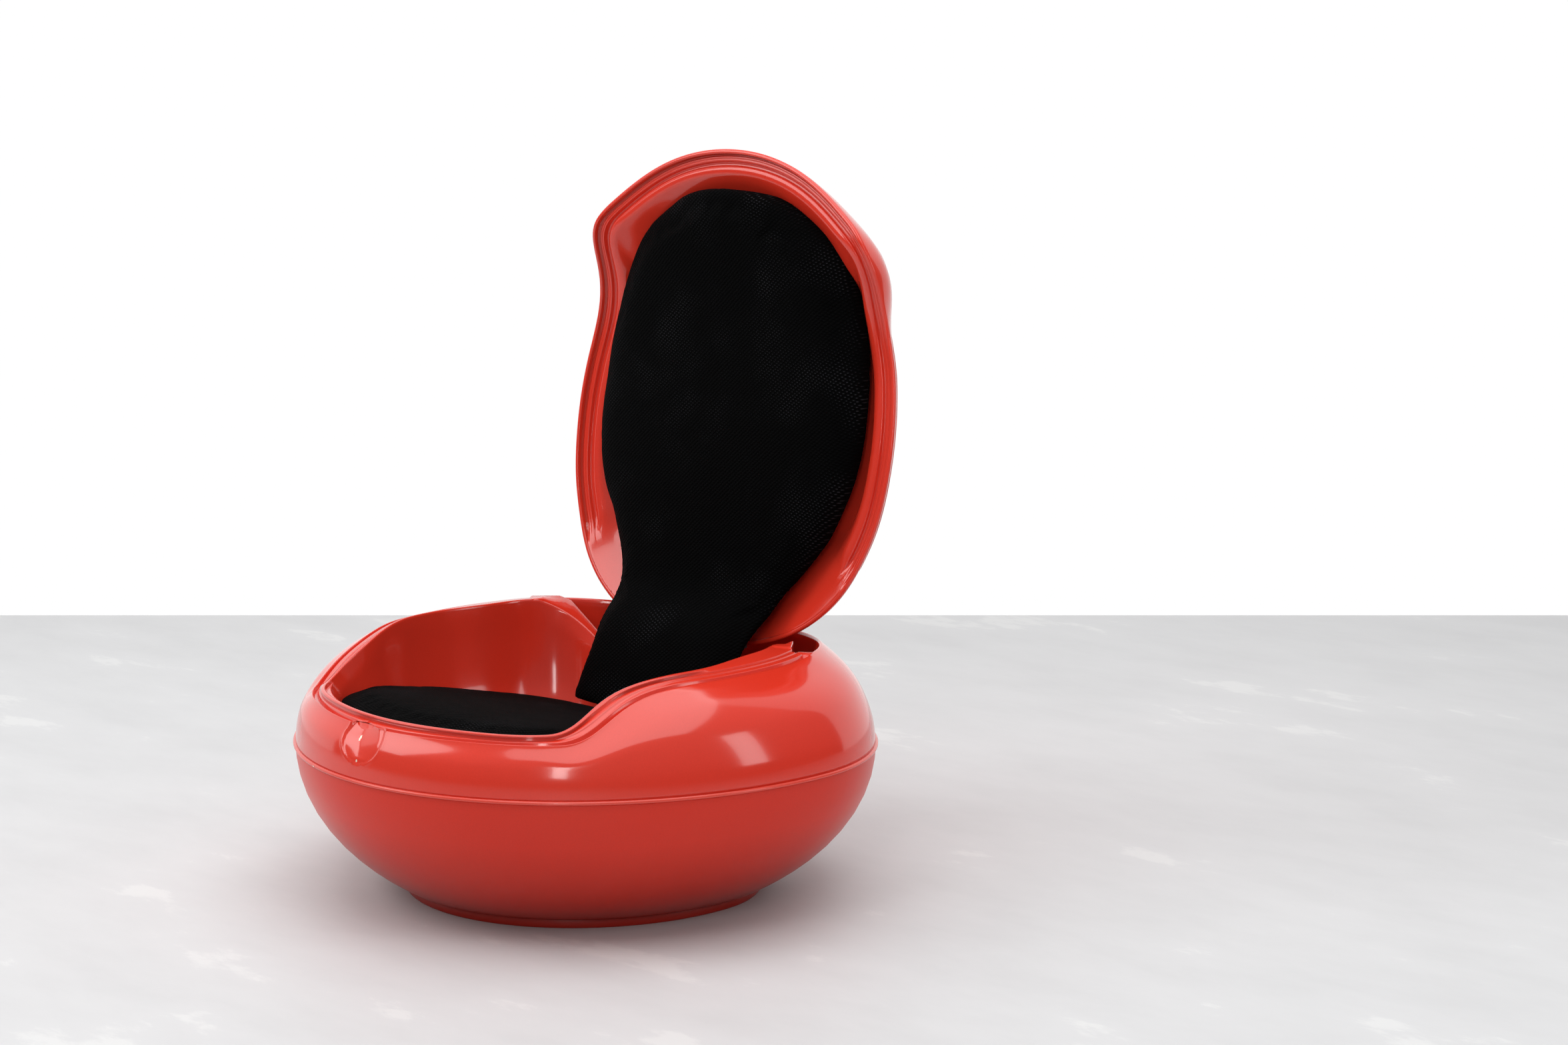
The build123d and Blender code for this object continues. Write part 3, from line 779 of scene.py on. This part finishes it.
@dataclass
class UpperShell:
    """The upper base shell with the gutter round its rim.

    The rows of gutter, shoulder and plain are (inset, rise) of the same ring in the gutter, on the
    shoulder where the gutter has ended, and round the well behind the seat.
    """

    wall: float = 7.0
    gutter_end: float = 166.0
    shoulder_end: float = 187.0
    profile: Table = (
        (215, 0.9998, 0.9998), (240, 0.9925, 0.993), (262, 0.977, 0.979), (285, 0.952, 0.957),
        (305, 0.921, 0.933), (322, 0.880, 0.912), (334, 0.836, 0.893), (345, 0.772, 0.862),
        (351, 0.700, 0.825),
    )
    gutter: Table = (
        (0.0, 0.0), (1.0, -0.3), (1.9, -1.6), (2.3, -6.0), (3.2, -7.0), (8.2, -7.0), (9.0, -6.0),
        (9.4, 0.4), (10.2, 1.5), (11.2, 1.9), (17.6, 2.3), (18.3, 2.9), (18.9, 4.0), (19.8, 4.5),
        (26.0, 4.8), (26.6, 4.4), (26.6, -12.0), (7.0, -14.0),
    )
    shoulder: Table = (
        (0.0, 0.0), (1.2, 0.7), (2.6, 0.9), (4.4, 0.9), (6.2, 0.9), (8.2, 0.9),
        *((inset, 0.9) for inset in range(10, 22, 2)), (22.0, 0.7), (24.0, 0.0), (25.6, -2.0),
        (26.4, -6.0), (26.6, -30.0), (7.5, -32.0),
    )
    plain: Table = (
        (0.0, 0.0), (1.2, 0.7), (2.6, 0.9), (4.0, 0.2), (5.0, -1.6), (5.6, -5.0),
        *((6.0 + 0.2 * i, -9.0 - 4.0 * i) for i in range(5)),
        *((7.0 + 0.1 * i, -30.0 - 5.0 * i) for i in range(3)), (7.3, -46.0), (7.4, -52.0),
        (7.6, -58.0), (8.0, -66.0),
    )
    grip: Grip = field(default_factory=Grip)

    def skin(self, level: Array, inset: float = 0.0) -> Array:
        """Ring on the shell's skin, where every station has its own height.

        Args:
            level: one height for each station.
            inset: how far inside the outer skin.

        Returns:
            The ring.
        """
        share, rear_share = sections_at(self.profile, level)
        widest = WIDEST_Y * share
        heading = np.column_stack([np.cos(STATIONS), np.sin(STATIONS)])
        offset = CENTRE[1] - widest
        half = HALF_WIDTH * share - inset

        def met(reach: Array) -> Array:
            """Where the rays meet half ellipses of the reach given."""
            a = (heading[:, 0] / half) ** 2 + (heading[:, 1] / reach) ** 2
            b = 2 * heading[:, 1] * offset / reach**2
            c = (offset / reach) ** 2 - 1
            return CENTRE + heading * ((-b + np.sqrt(b * b - 4 * a * c)) / (2 * a))[:, None]

        front, rear = met(FRONT_REACH * share - inset), met(REAR_REACH * rear_share - inset)
        plan = np.where((front[:, 1] < widest)[:, None], front, rear)
        return lifted(plan, level)

    def rings(self) -> list[Array]:
        """All rings, from the seam up the outside, over the rim and down the inside."""
        edge = RIM_OUTER.plan()
        top = rim_height(edge[:, 1])
        low = self.skin(np.full(COUNT, BEAD_TOP), self.wall)
        lean = lifted(edge, top) - self.skin(top)
        rings = [low]
        shares = [0.26 + 0.03 * step for step in range(24)]
        for share in (0.0, 0.04, 0.12, 0.22, *shares, 0.965, 0.99):
            row = self.skin(BEAD_TOP + (top - BEAD_TOP) * share)
            rings.append(self.pushed(row + lean * smooth_step(0.55, 1.0, share) ** 1.5))
        for places in zip(self.gutter, self.shoulder, self.plain):
            rings.append(self.rim_row(places, edge[:, 1]))
        last = rings[-1]
        rings += [last * (1 - share) + low * share for share in (0.35, 0.7, 1.0)]
        return rings

    def rim_row(self, places: Pairs, along: Array) -> Array:
        """One ring over the rim: gutter, then plain shoulder, then the thin edge of the well.

        Args:
            places: (inset, rise) in the gutter, on the shoulder and round the well.
            along: y of the rim's edge at each station.

        Returns:
            The ring.
        """
        gutter, shoulder, plain = (
            over_rim(RIM_OUTER.plan(inset), rise) for inset, rise in places)
        ended, opened = (
            smooth_step(end - 1.5, end + 1.5, along)[:, None]
            for end in (self.gutter_end, self.shoulder_end))
        row = gutter * (1 - ended) + shoulder * ended
        return self.pushed(row * (1 - opened) + plain * opened, places[0][0])

    def pushed(self, row: Array, inset: float = 0.0) -> Array:
        """The ring with the grip's recess pressed into it.

        Args:
            row: the ring.
            inset: how far inside the rim's edge it lies in the gutter.

        Returns:
            The ring, flattened where the recess cuts through the gutter.
        """
        depth = self.grip.depth(row[:, 0], np.minimum(row[:, 2], FRONT_RIM))
        depth = depth * (row[:, 1] < -300) * (inset < 18.5)
        moved = row.copy()
        if inset == 0.0:
            moved[:, 1] += depth
            return moved
        bottom = RIM_OUTER.plan()[:, 1] + depth
        hidden = (depth > 2.0) & (row[:, 1] < bottom)
        ledge = FRONT_RIM + 0.6
        moved[hidden, 1] = bottom[hidden]
        moved[depth > 2.0, 2] = np.maximum(row[depth > 2.0, 2], ledge)
        moved[hidden, 2] = ledge
        return moved

    def build(self) -> None:
        """Builds and places the shell."""
        place("upper_shell_skin", loft(self.rings()), RED_GLOSS, Body.BASE, "upper_shell")


@dataclass
class Tub:
    """The inner seat basin with its lip and its broad rear wall."""

    wall: float = 6.0
    floor: float = 150.0
    gutter_end: float = 140.0
    rear_dip: float = 292.0
    sections: Table = (
        (150.0, 0.74), (190.0, 0.88), (240.0, 0.95), (300.0, 0.985), (362.0, 1.0),
    )
    # Insets of the lip, with its rise at the front and at the rear.
    lip: Table = (
        (-8.0, 7.8, 9.5), (-4.5, 9.3, 9.6), (-2.6, 9.9, 9.4), (-1.2, 9.6, 8.7), (-0.3, 8.4, 7.2),
        (0.0, 6.0, 5.0),
    )

    def wall_row(self, level: Array | float, out: float, narrow: float = 1.0) -> Array:
        """Ring on the tub's wall.

        Args:
            level: its height, one number or one for each station.
            out: how far outside the inner skin.
            narrow: share of its plan that is kept.

        Returns:
            The ring.
        """
        table = np.array(self.sections)
        level = np.broadcast_to(level, COUNT)
        share = cubic(table[:, 0], table[:, 1], np.clip(level, *table[[0, -1], 0]))
        plan = RIM_LIP.plan(-out) * share[:, None]
        plan[:, 1] -= 30.0 * (1 - share)
        return lifted(plan * narrow, level)

    def top(self, plan: Array, rise: Array | float) -> Array:
        """Height of the wall's top, which dips across the rear.

        Args:
            plan: the places, as (x, y) rows.
            rise: how far it stands over the rim line elsewhere.

        Returns:
            One height for each place.
        """
        level = rim_height(plan[:, 1]) + rise
        arm = ARM_RIM + 9.5
        beside = np.clip((np.abs(plan[:, 0]) - 150.0) / 90.0, 0.0, 1.0)
        dip = self.rear_dip + (arm - self.rear_dip) * beside + (rise - 9.5)
        rear = smooth_step(self.gutter_end - 6.0, self.gutter_end + 6.0, plan[:, 1])
        return np.minimum(level, dip) * rear + level * (1 - rear)

    def build(self) -> None:
        """Builds and places the basin."""
        lip = RIM_LIP.plan()
        rear = smooth_step(self.gutter_end - 1.0, self.gutter_end + 2.0, lip[:, 1])[:, None]
        down = [0, 0, -self.wall]
        rows = [self.wall_row(self.floor, self.wall, narrow) + down for narrow in (0.3, 1.0)]
        rows += [self.wall_row(level, self.wall) for level in (175.0, 205.0, 235.0, 262.0)]
        gutter_edge = RIM_OUTER.moved_in(27.0)
        for drop, move in ((-40.0, 0.0), (-3.0, 0.0), (-0.6, 0.5), (0.0, 1.6)):
            front_plan = gutter_edge.plan(move)
            far, near = (np.linalg.norm(plan - CENTRE, axis=1) for plan in (front_plan, lip))
            clear = (far > near + 6.0)[:, None]
            front_plan = np.where(clear, front_plan, RIM_LIP.plan(move - 6.0))
            rear_plan = WELL_BAND.plan(move)
            rows.append(
                over_rim(front_plan, 6.2 + max(drop, -16.0)) * (1 - rear)
                + lifted(rear_plan, self.top(rear_plan, 9.5) + drop) * rear)
        for inset, rise, rear_rise in self.lip:
            plan = RIM_LIP.plan(inset)
            rows.append(lifted(plan, self.top(plan, rise + (rear_rise - rise) * rear[:, 0])))
        high = self.top(lip, 2.0)
        for share in (0.05, 0.15, 0.28, 0.42, 0.56, 0.7, 0.84, 0.95):
            rows.append(self.wall_row(high + (self.floor + 4 - high) * share, 0.0))
        rows += [self.wall_row(self.floor, 0.0, narrow) for narrow in (0.96, 0.3)]
        place("seat_tub", loft(rows, capped=True), RED_GLOSS, Body.BASE, "seat_basin")


@dataclass
class SeatCushion:
    """The loose seat cushion: crowned, drawn in at its edge, higher at the front."""

    gap: float = 6.5
    bottom: float = 156.0
    edge_drop: float = 17.0
    crown: Table = (
        (-380, 262), (-330, 279), (-285, 285), (-240, 284), (-181, 277), (-138, 269), (-95, 260),
        (-50, 250), (-10, 241), (65, 225), (140, 208), (220, 190),
    )
    # How far the top lies below the crown at each distance from the edge.
    drops: Table = (
        (0.0, 15.5), (1.4, 10.5), (4.5, 7.6), (11.0, 5.0), (23.0, 2.6), (45.0, 1.0), (80.0, 0.2),
        (120.0, 0.0), (160.0, 0.0), (200.0, 0.0),
    )

    def crest(self, y: Array) -> Array:
        """Height of the crown at each y."""
        table = np.array(self.crown, float)
        return cubic(table[:, 0], table[:, 1], np.clip(y, table[0, 0], table[-1, 0]))

    def build(self, tub: Tub) -> None:
        """Builds and places the cushion.

        Args:
            tub: the basin that holds it.
        """
        top = self.crest(tub.wall_row(262.0, -self.gap)[:, 1]) - self.edge_drop
        low = self.bottom + 6
        rows = [tub.wall_row(self.bottom, -self.gap - 8, narrow) for narrow in (0.3, 1.0)]
        for share in (0.12, 0.35, 0.6, 0.82):
            rows.append(tub.wall_row(low + (top - low) * share, -self.gap))
        middle = np.array([0.0, -77.0])
        offset = tub.wall_row(top, -self.gap)[:, :2] - middle
        length = np.linalg.norm(offset, axis=1)[:, None]
        for inset, drop in self.drops:
            plan = middle + offset * np.clip(length - inset, 4.0, None) / length
            rows.append(lifted(plan, self.crest(plan[:, 1]) - drop))
        pad = loft(rows, capped=True)
        cushion = place("seat_pad", pad, SEAT_CLOTH, Body.BASE, "seat_cushion")


# ------------------------------------------------------------------ lid
@dataclass
class Lid:
    """The lid's outer shell and its inner liner, drawn shut."""

    wall: float = 6.0
    top: float = 429.0
    half_span: float = 340.0
    smooth_from: float = 205.0
    # Height of a section, with its shares across, to the front and to the back.
    profile: Table = (
        (255, 1.0, 1.0, 1.0), (300, 1.0, 0.975, 1.0), (345, 0.985, 0.905, 0.985),
        (372, 0.925, 0.820, 0.945), (395, 0.815, 0.700, 0.860), (412, 0.665, 0.555, 0.730),
        (423, 0.470, 0.390, 0.530), (429, 0.230, 0.190, 0.260),
    )
    # (inset, rise) round the rolled lip.
    lip: Table = (
        (0.3, 5.0), (1.2, 3.7), (2.6, 3.1), (5.2, 3.0), (6.3, 3.3), (6.9, 4.4), (7.1, 6.0),
        (7.2, 12.0),
    )
    # (inset, rise) over the liner's two grooves and its broad inner band.
    flange: Table = (
        (7.7, 8.0), (7.8, 12.6), (8.4, 13.4), (9.6, 13.4), (10.1, 12.4), (10.5, 11.2), (11.4, 10.5),
        (14.6, 10.4), (15.1, 11.0), (15.6, 10.4), (19.2, 10.5), (20.2, 11.3), (20.6, 15.6),
        (21.6, 16.8), (28.0, 16.8), (29.0, 15.6), (29.6, 13.2), (31.0, 12.2), (36.0, 12.0),
        (41.0, 12.2), (45.0, 13.2), (49.0, 15.6),
    )

    def shares(self, height: Array, back: Array) -> Array:
        """Shares of the edge's plan at each height, where back tells the rear from the front."""
        wide, front, rear = sections_at(self.profile, height)
        return np.column_stack([wide, front * (1 - back) + rear * back])

    def dome_row(self, share: float, inset: float) -> Array:
        """Ring on the dome between its rim and its top.

        Args:
            share: 0 at the rim, 1 at the top.
            inset: how far inside the outer skin.

        Returns:
            The ring.
        """
        edge = LID_EDGE.plan()
        back = smooth_step(-60.0, 60.0, edge[:, 1])
        start = rim_height(edge[:, 1]) + 6.0
        level = start + (self.top - start) * (1 - (1 - share) ** 1.7)
        lift = (1 - self.shares(start, back)) * (1 - share) ** 3
        plan = edge * (self.shares(level, back) + lift - inset / self.half_span)
        return lifted(plan, level - inset * (0.2 + 0.8 * share))

    def shell(self) -> Mesh:
        """The outer shell with its rounded lip."""
        shares = (0.99, 0.97, 0.9, 0.8, 0.7, 0.6, 0.5, 0.4, 0.31, 0.23, 0.16, 0.1, 0.05, 0.015)
        rows = [self.dome_row(share, 0.0) for share in shares]
        rows += [over_rim(LID_EDGE.plan(inset), rise) for inset, rise in self.lip]
        rows += [self.dome_row(share, self.wall) for share in shares[-4::-1]]
        return turned_open(loft(rows, capped=True))

    def liner_row(self, inset: float, rise: float) -> Array:
        """Ring of the liner's flange, which fades into smooth cheeks beside the hinge.

        Args:
            inset: how far inside the lid's edge, tightened towards the front.
            rise: how far over the rim line.

        Returns:
            The ring.
        """
        edge = LID_EDGE.plan()
        tight = 0.76 + 0.24 * smooth_step(-290.0, -170.0, edge[:, 1])
        cheek = smooth_step(self.smooth_from, self.smooth_from + 34.0, edge[:, 1])
        scaled = 7.1 + (inset - 7.1) * tight - cheek * np.clip(10.0 - inset, 0.0, 2.4)
        moved = np.array([
            LID_EDGE.moved_in(value).reach(STATIONS[i:i + 1])[0] for i, value in enumerate(scaled)])
        over = rise * (1 - cheek) + (4.0 + 0.34 * (inset - 7.1)) * cheek
        return over_rim(moved, over)

    def liner(self) -> Mesh:
        """The liner: two grooves, a broad inner band, sloped sides and a floor."""
        rows = [self.liner_row(inset, rise) for inset, rise in self.flange]
        start = rows[-1]
        rim = start[:, 2]
        recess = BACK_RECESS.plan()
        for share, depth in ((0.5, 10.0), (1.0, 24.0)):
            rows.append(lifted(start[:, :2] * (1 - share) + recess * share, rim + depth))
        shares = (0.86, 0.6, 0.3, 0.1)
        for height, steps in ((405.0, shares), (409.0, shares[::-1])):
            rows += [lifted(recess * share, height - 55.0 * share**2) for share in steps]
        rows.append(lifted(recess, rim + 30.0))
        rows.append(lifted(self.liner_row(40.0, 20.0)[:, :2], rim + 12.0))
        rows += [self.liner_row(9.0, 20.0), rows[0]]
        return turned_open(loft(rows))

    def build(self) -> None:
        """Builds and places the lid."""
        place("lid_outer_shell", self.shell(), RED_GLOSS, Body.LID, "lid_shell")
        place("lid_inner_liner", self.liner(), RED_GLOSS, Body.LID, "lid_liner")


@dataclass
class BackPad:
    """The back cushion and its soft tongue, sewn as one long pad that bends at the hinge."""

    # Height, half width and y of the pad's face, from its top to its foot.
    spine: Table = (
        (962, 4, 297), (960, 30, 297), (955, 66, 297), (945, 102, 298), (930, 133, 300),
        (908, 171, 303), (883, 203, 305), (841, 230, 306), (787, 251, 304), (728, 264, 298),
        (668, 269, 290), (599, 267, 278), (542, 253, 268), (486, 226, 260), (443, 197, 252),
        (406, 172, 240), (375, 157, 221), (340, 150, 183), (313, 149, 165), (290, 149, 154),
        (264, 149, 142), (235, 149, 132), (212, 148, 127), (206, 144, 128),
    )
    # Height and thickness.
    thickness: Table = (
        (206, 8), (212, 21), (360, 21), (400, 26), (430, 40), (480, 60), (880, 60), (930, 50),
        (950, 36), (958, 22), (962, 6),
    )

    def rows(self) -> list[Array]:
        """Closed sections across the pad from its top to its foot."""
        spine = np.array(self.spine, float)
        runs = np.hypot(np.diff(spine[:, 0]), np.diff(spine[:, 1])) + 1e-3
        reached = np.concatenate([[0], np.cumsum(runs)])
        fine = np.linspace(0, reached[-1], 90)
        level, half, face = (cubic(reached, line, fine) for line in spine.T)
        half = np.clip(half, 2.0, None) * (1.0 - 0.02 * smooth_step(420.0, 520.0, level))
        thick = np.interp(level, *np.array(self.thickness, float).T)
        angles = np.linspace(0, 2 * math.pi, 96, endpoint=False)
        across = np.sign(np.cos(angles)) * np.abs(np.cos(angles)) ** 0.42
        depth = np.sign(np.sin(angles)) * np.abs(np.sin(angles)) ** 0.75
        made = []
        for i in range(len(fine)):
            before, after = max(i - 1, 0), min(i + 1, len(fine) - 1)
            run = np.array([face[after] - face[before], level[after] - level[before]])
            normal = np.array([-run[1], run[0]]) / np.linalg.norm(run)
            if level[i] > 900:
                normal = np.array([1.0, 0.17])
            crown = 9.0 * (1 - across**2) * min(1.0, thick[i] / 50.0) * (depth < 0)
            back = thick[i] / 2 * (1 + depth) - crown
            made.append(np.column_stack([
                half[i] * across, face[i] + normal[0] * back, level[i] + normal[1] * back]))
        return made

    def build(self) -> None:
        """Builds the pad, drawn bent between base and lid."""
        pad = to_object("back_pad", loft(self.rows(), capped=True), BACK_CLOTH)
        COVER.settle(pad)
        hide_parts("back_cushion", "back_tongue")
        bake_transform(pad)
        LOG.info("back pad bends between base and lid")


# ------------------------------------------------------------------ hardware and stage
HARDWARE: dict[Finish, tuple[str, ...]] = {
    ZINC: (
        "foot_screws", "hinge_bracket_left", "hinge_bracket_right", "bracket_bolts",
        "bracket_nuts", "shaft_clips", "board_screws", "hinge_arm_left", "hinge_arm_right",
        "arm_bolts"),
    GROUND: ("hinge_shaft",), NYLON: ("hinge_bush_left", "hinge_bush_right"),
    DARK_PLASTIC: ("basin_collar",), RUBBER: ("stop_buffers",), PLYWOOD: ("back_board",),
}


def dress_hardware(nodes: dict[str, Piece]) -> None:
    """Gives each kept CAD node its material.

    Args:
        nodes: the CAD nodes by name.
    """
    for name, finish in ((name, finish) for finish, names in HARDWARE.items() for name in names):
        data = nodes[name].data
        data.materials.clear()
        data.materials.append(finish.material())
        LOG.info("%s keeps its solid in %s", name, finish.name)


@dataclass(frozen=True)
class PaleFloor(Finish):
    """Smooth pale screed, matt, a little uneven in tone."""

    def shade(self, tree: Tree, where: Socket) -> Node:
        """Builds the shader, as in Finish."""
        streaked = add(tree, "Mapping", {
            "Vector": where, "Rotation": (0.0, 0.0, math.radians(43.5)), "Scale": (1.0, 2.2, 1.0)})
        # Patches of some 380 mm.
        clouds = add(tree, "TexNoise", {
            "Vector": streaked, "Scale": 2.6, "Detail": 9.0, "Roughness": 0.62})
        tone = add(tree, "ValToRGB", {"Fac": clouds}, (
            (0.3, "#CACACB"), (0.5, self.body), (0.6, "#D1D1D2"), (0.64, "#D9D9D9")))
        return add(tree, "BsdfPrincipled", {"Base Color": tone, "Roughness": self.roughness})


@dataclass(frozen=True)
class LitWall(Finish):
    """White backdrop that is lit from behind, so that it also lights the chair's back and sides."""

    glow: float = 1.03

    def shade(self, tree: Tree, where: Socket) -> Node:
        """Builds the shader, as in Finish."""
        return add(tree, "Emission", {"Color": colour(self.body), "Strength": self.glow})


@dataclass(frozen=True)
class Lamp:
    """Flat soft light: its name, width and height in metres, watts, and where it hangs."""

    name: str
    size: tuple[float, float]
    power: float
    spot: tuple[float, float, float]

    def hang(self, aim: Vector) -> None:
        """Hangs the light and turns it to the place aimed at."""
        data = bpy.data.lights.new(self.name, "AREA")
        data.shape = "RECTANGLE"
        data.size, data.size_y = self.size
        data.energy = self.power
        made = bpy.data.objects.new(self.name, data)
        made.location = self.spot
        made.rotation_euler = (aim - made.location).to_track_quat("-Z", "Y").to_euler()
        bpy.context.scene.collection.objects.link(made)


@dataclass
class Studio:
    """Floor, wall, soft light and the camera, in metres and degrees."""

    focus: float = 76.53
    spot: tuple[float, float, float] = (3.3669, -3.1200, 1.3094)
    tilt: float = 80.147
    heading: float = 43.517
    half_size: float = 14.0
    floor_end: float = 1.885
    wall_place: float = 5.4
    lamps: tuple[Lamp, ...] = (
        Lamp("key", (2.2, 2.6), 61.0, (-2.4, -2.6, 2.9)),
        Lamp("front", (0.55, 2.6), 43.0, (3.4, -4.4, 2.6)),
        Lamp("side", (0.6, 1.6), 11.0, (3.2, 0.9, 1.5)),
        Lamp("top", (3.6, 3.6), 86.0, (0.4, -0.3, 3.6)),
    )

    def plane(self, name: str, finish: Finish, matrix: Matrix) -> None:
        """Lays a flat stage piece.

        Args:
            name: its name.
            finish: what it is finished in.
            matrix: its place and turn.
        """
        mesh = bmesh.new()
        bmesh.ops.create_grid(
            mesh, x_segments=2, y_segments=2, size=self.half_size, matrix=matrix)
        made = to_object(name, mesh, finish)

    def light_room(self) -> None:
        """A soft room that is brighter above, and pale where the camera sees past the wall."""
        world = bpy.data.worlds.new("soft_room")
        world.use_nodes = True
        room = world.node_tree
        room.nodes.clear()
        level = add(room, "SeparateXYZ", {"Vector": add(room, "TexCoord", {})}).outputs["Z"]
        glow = add(room, "MapRange", {
            "Value": level, "From Max": 0.7, "To Min": 0.12, "To Max": 0.46})
        seen = add(room, "LightPath", {}).outputs["Is Camera Ray"]
        pale = add(room, "Math", {0: seen, 1: 0.9, 2: glow}, operation="MULTIPLY_ADD")
        sky = add(room, "Background", {"Color": colour("#F4F4F4"), "Strength": pale})
        add(room, "OutputWorld", {"Surface": sky})
        bpy.context.scene.world = world

    def build(self) -> None:
        """Builds the stage, the lights and the camera."""
        scene = bpy.context.scene
        turn = Matrix.Rotation(math.radians(self.heading), 4, "Z")
        level = turn @ Matrix.Translation((0, self.floor_end - self.half_size, 0))
        upright = turn @ Matrix.Translation((0, self.wall_place, 0))
        self.plane("floor", PaleFloor("pale_floor", "stage", "#CFCFD0", 0.55), level)
        self.plane("wall", LitWall("white_wall", "stage", "#FCFCFC", 0.9),
                   upright @ Matrix.Rotation(math.radians(90), 4, "X"))
        for lamp in self.lamps:
            lamp.hang(Vector((0, 0, 0.4)))
        self.light_room()
        scene.view_settings.view_transform = "Standard"
        data = bpy.data.cameras.new("camera")
        data.lens = self.focus
        data.sensor_width = 36.0
        data.clip_end = 100.0
        camera = bpy.data.objects.new("camera", data)
        camera.location = self.spot
        camera.rotation_euler = [math.radians(value) for value in (self.tilt, 0.0, self.heading)]
        scene.collection.objects.link(camera)
        scene.camera = camera


def main() -> None:
    """Builds the chair's pieces in order and then the stage."""
    logging.basicConfig(level=logging.INFO, format="%(name)s: %(message)s")
    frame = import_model()
    Bowl().build()
    SeamBead().build()
    UpperShell().build()
    tub = Tub()
    tub.build()
    SeatCushion().build(tub)
    Lid().build()
    BackPad().build()
    dress_hardware(frame["nodes"])
    Studio().build()


if __name__ == "__main__":
    main()
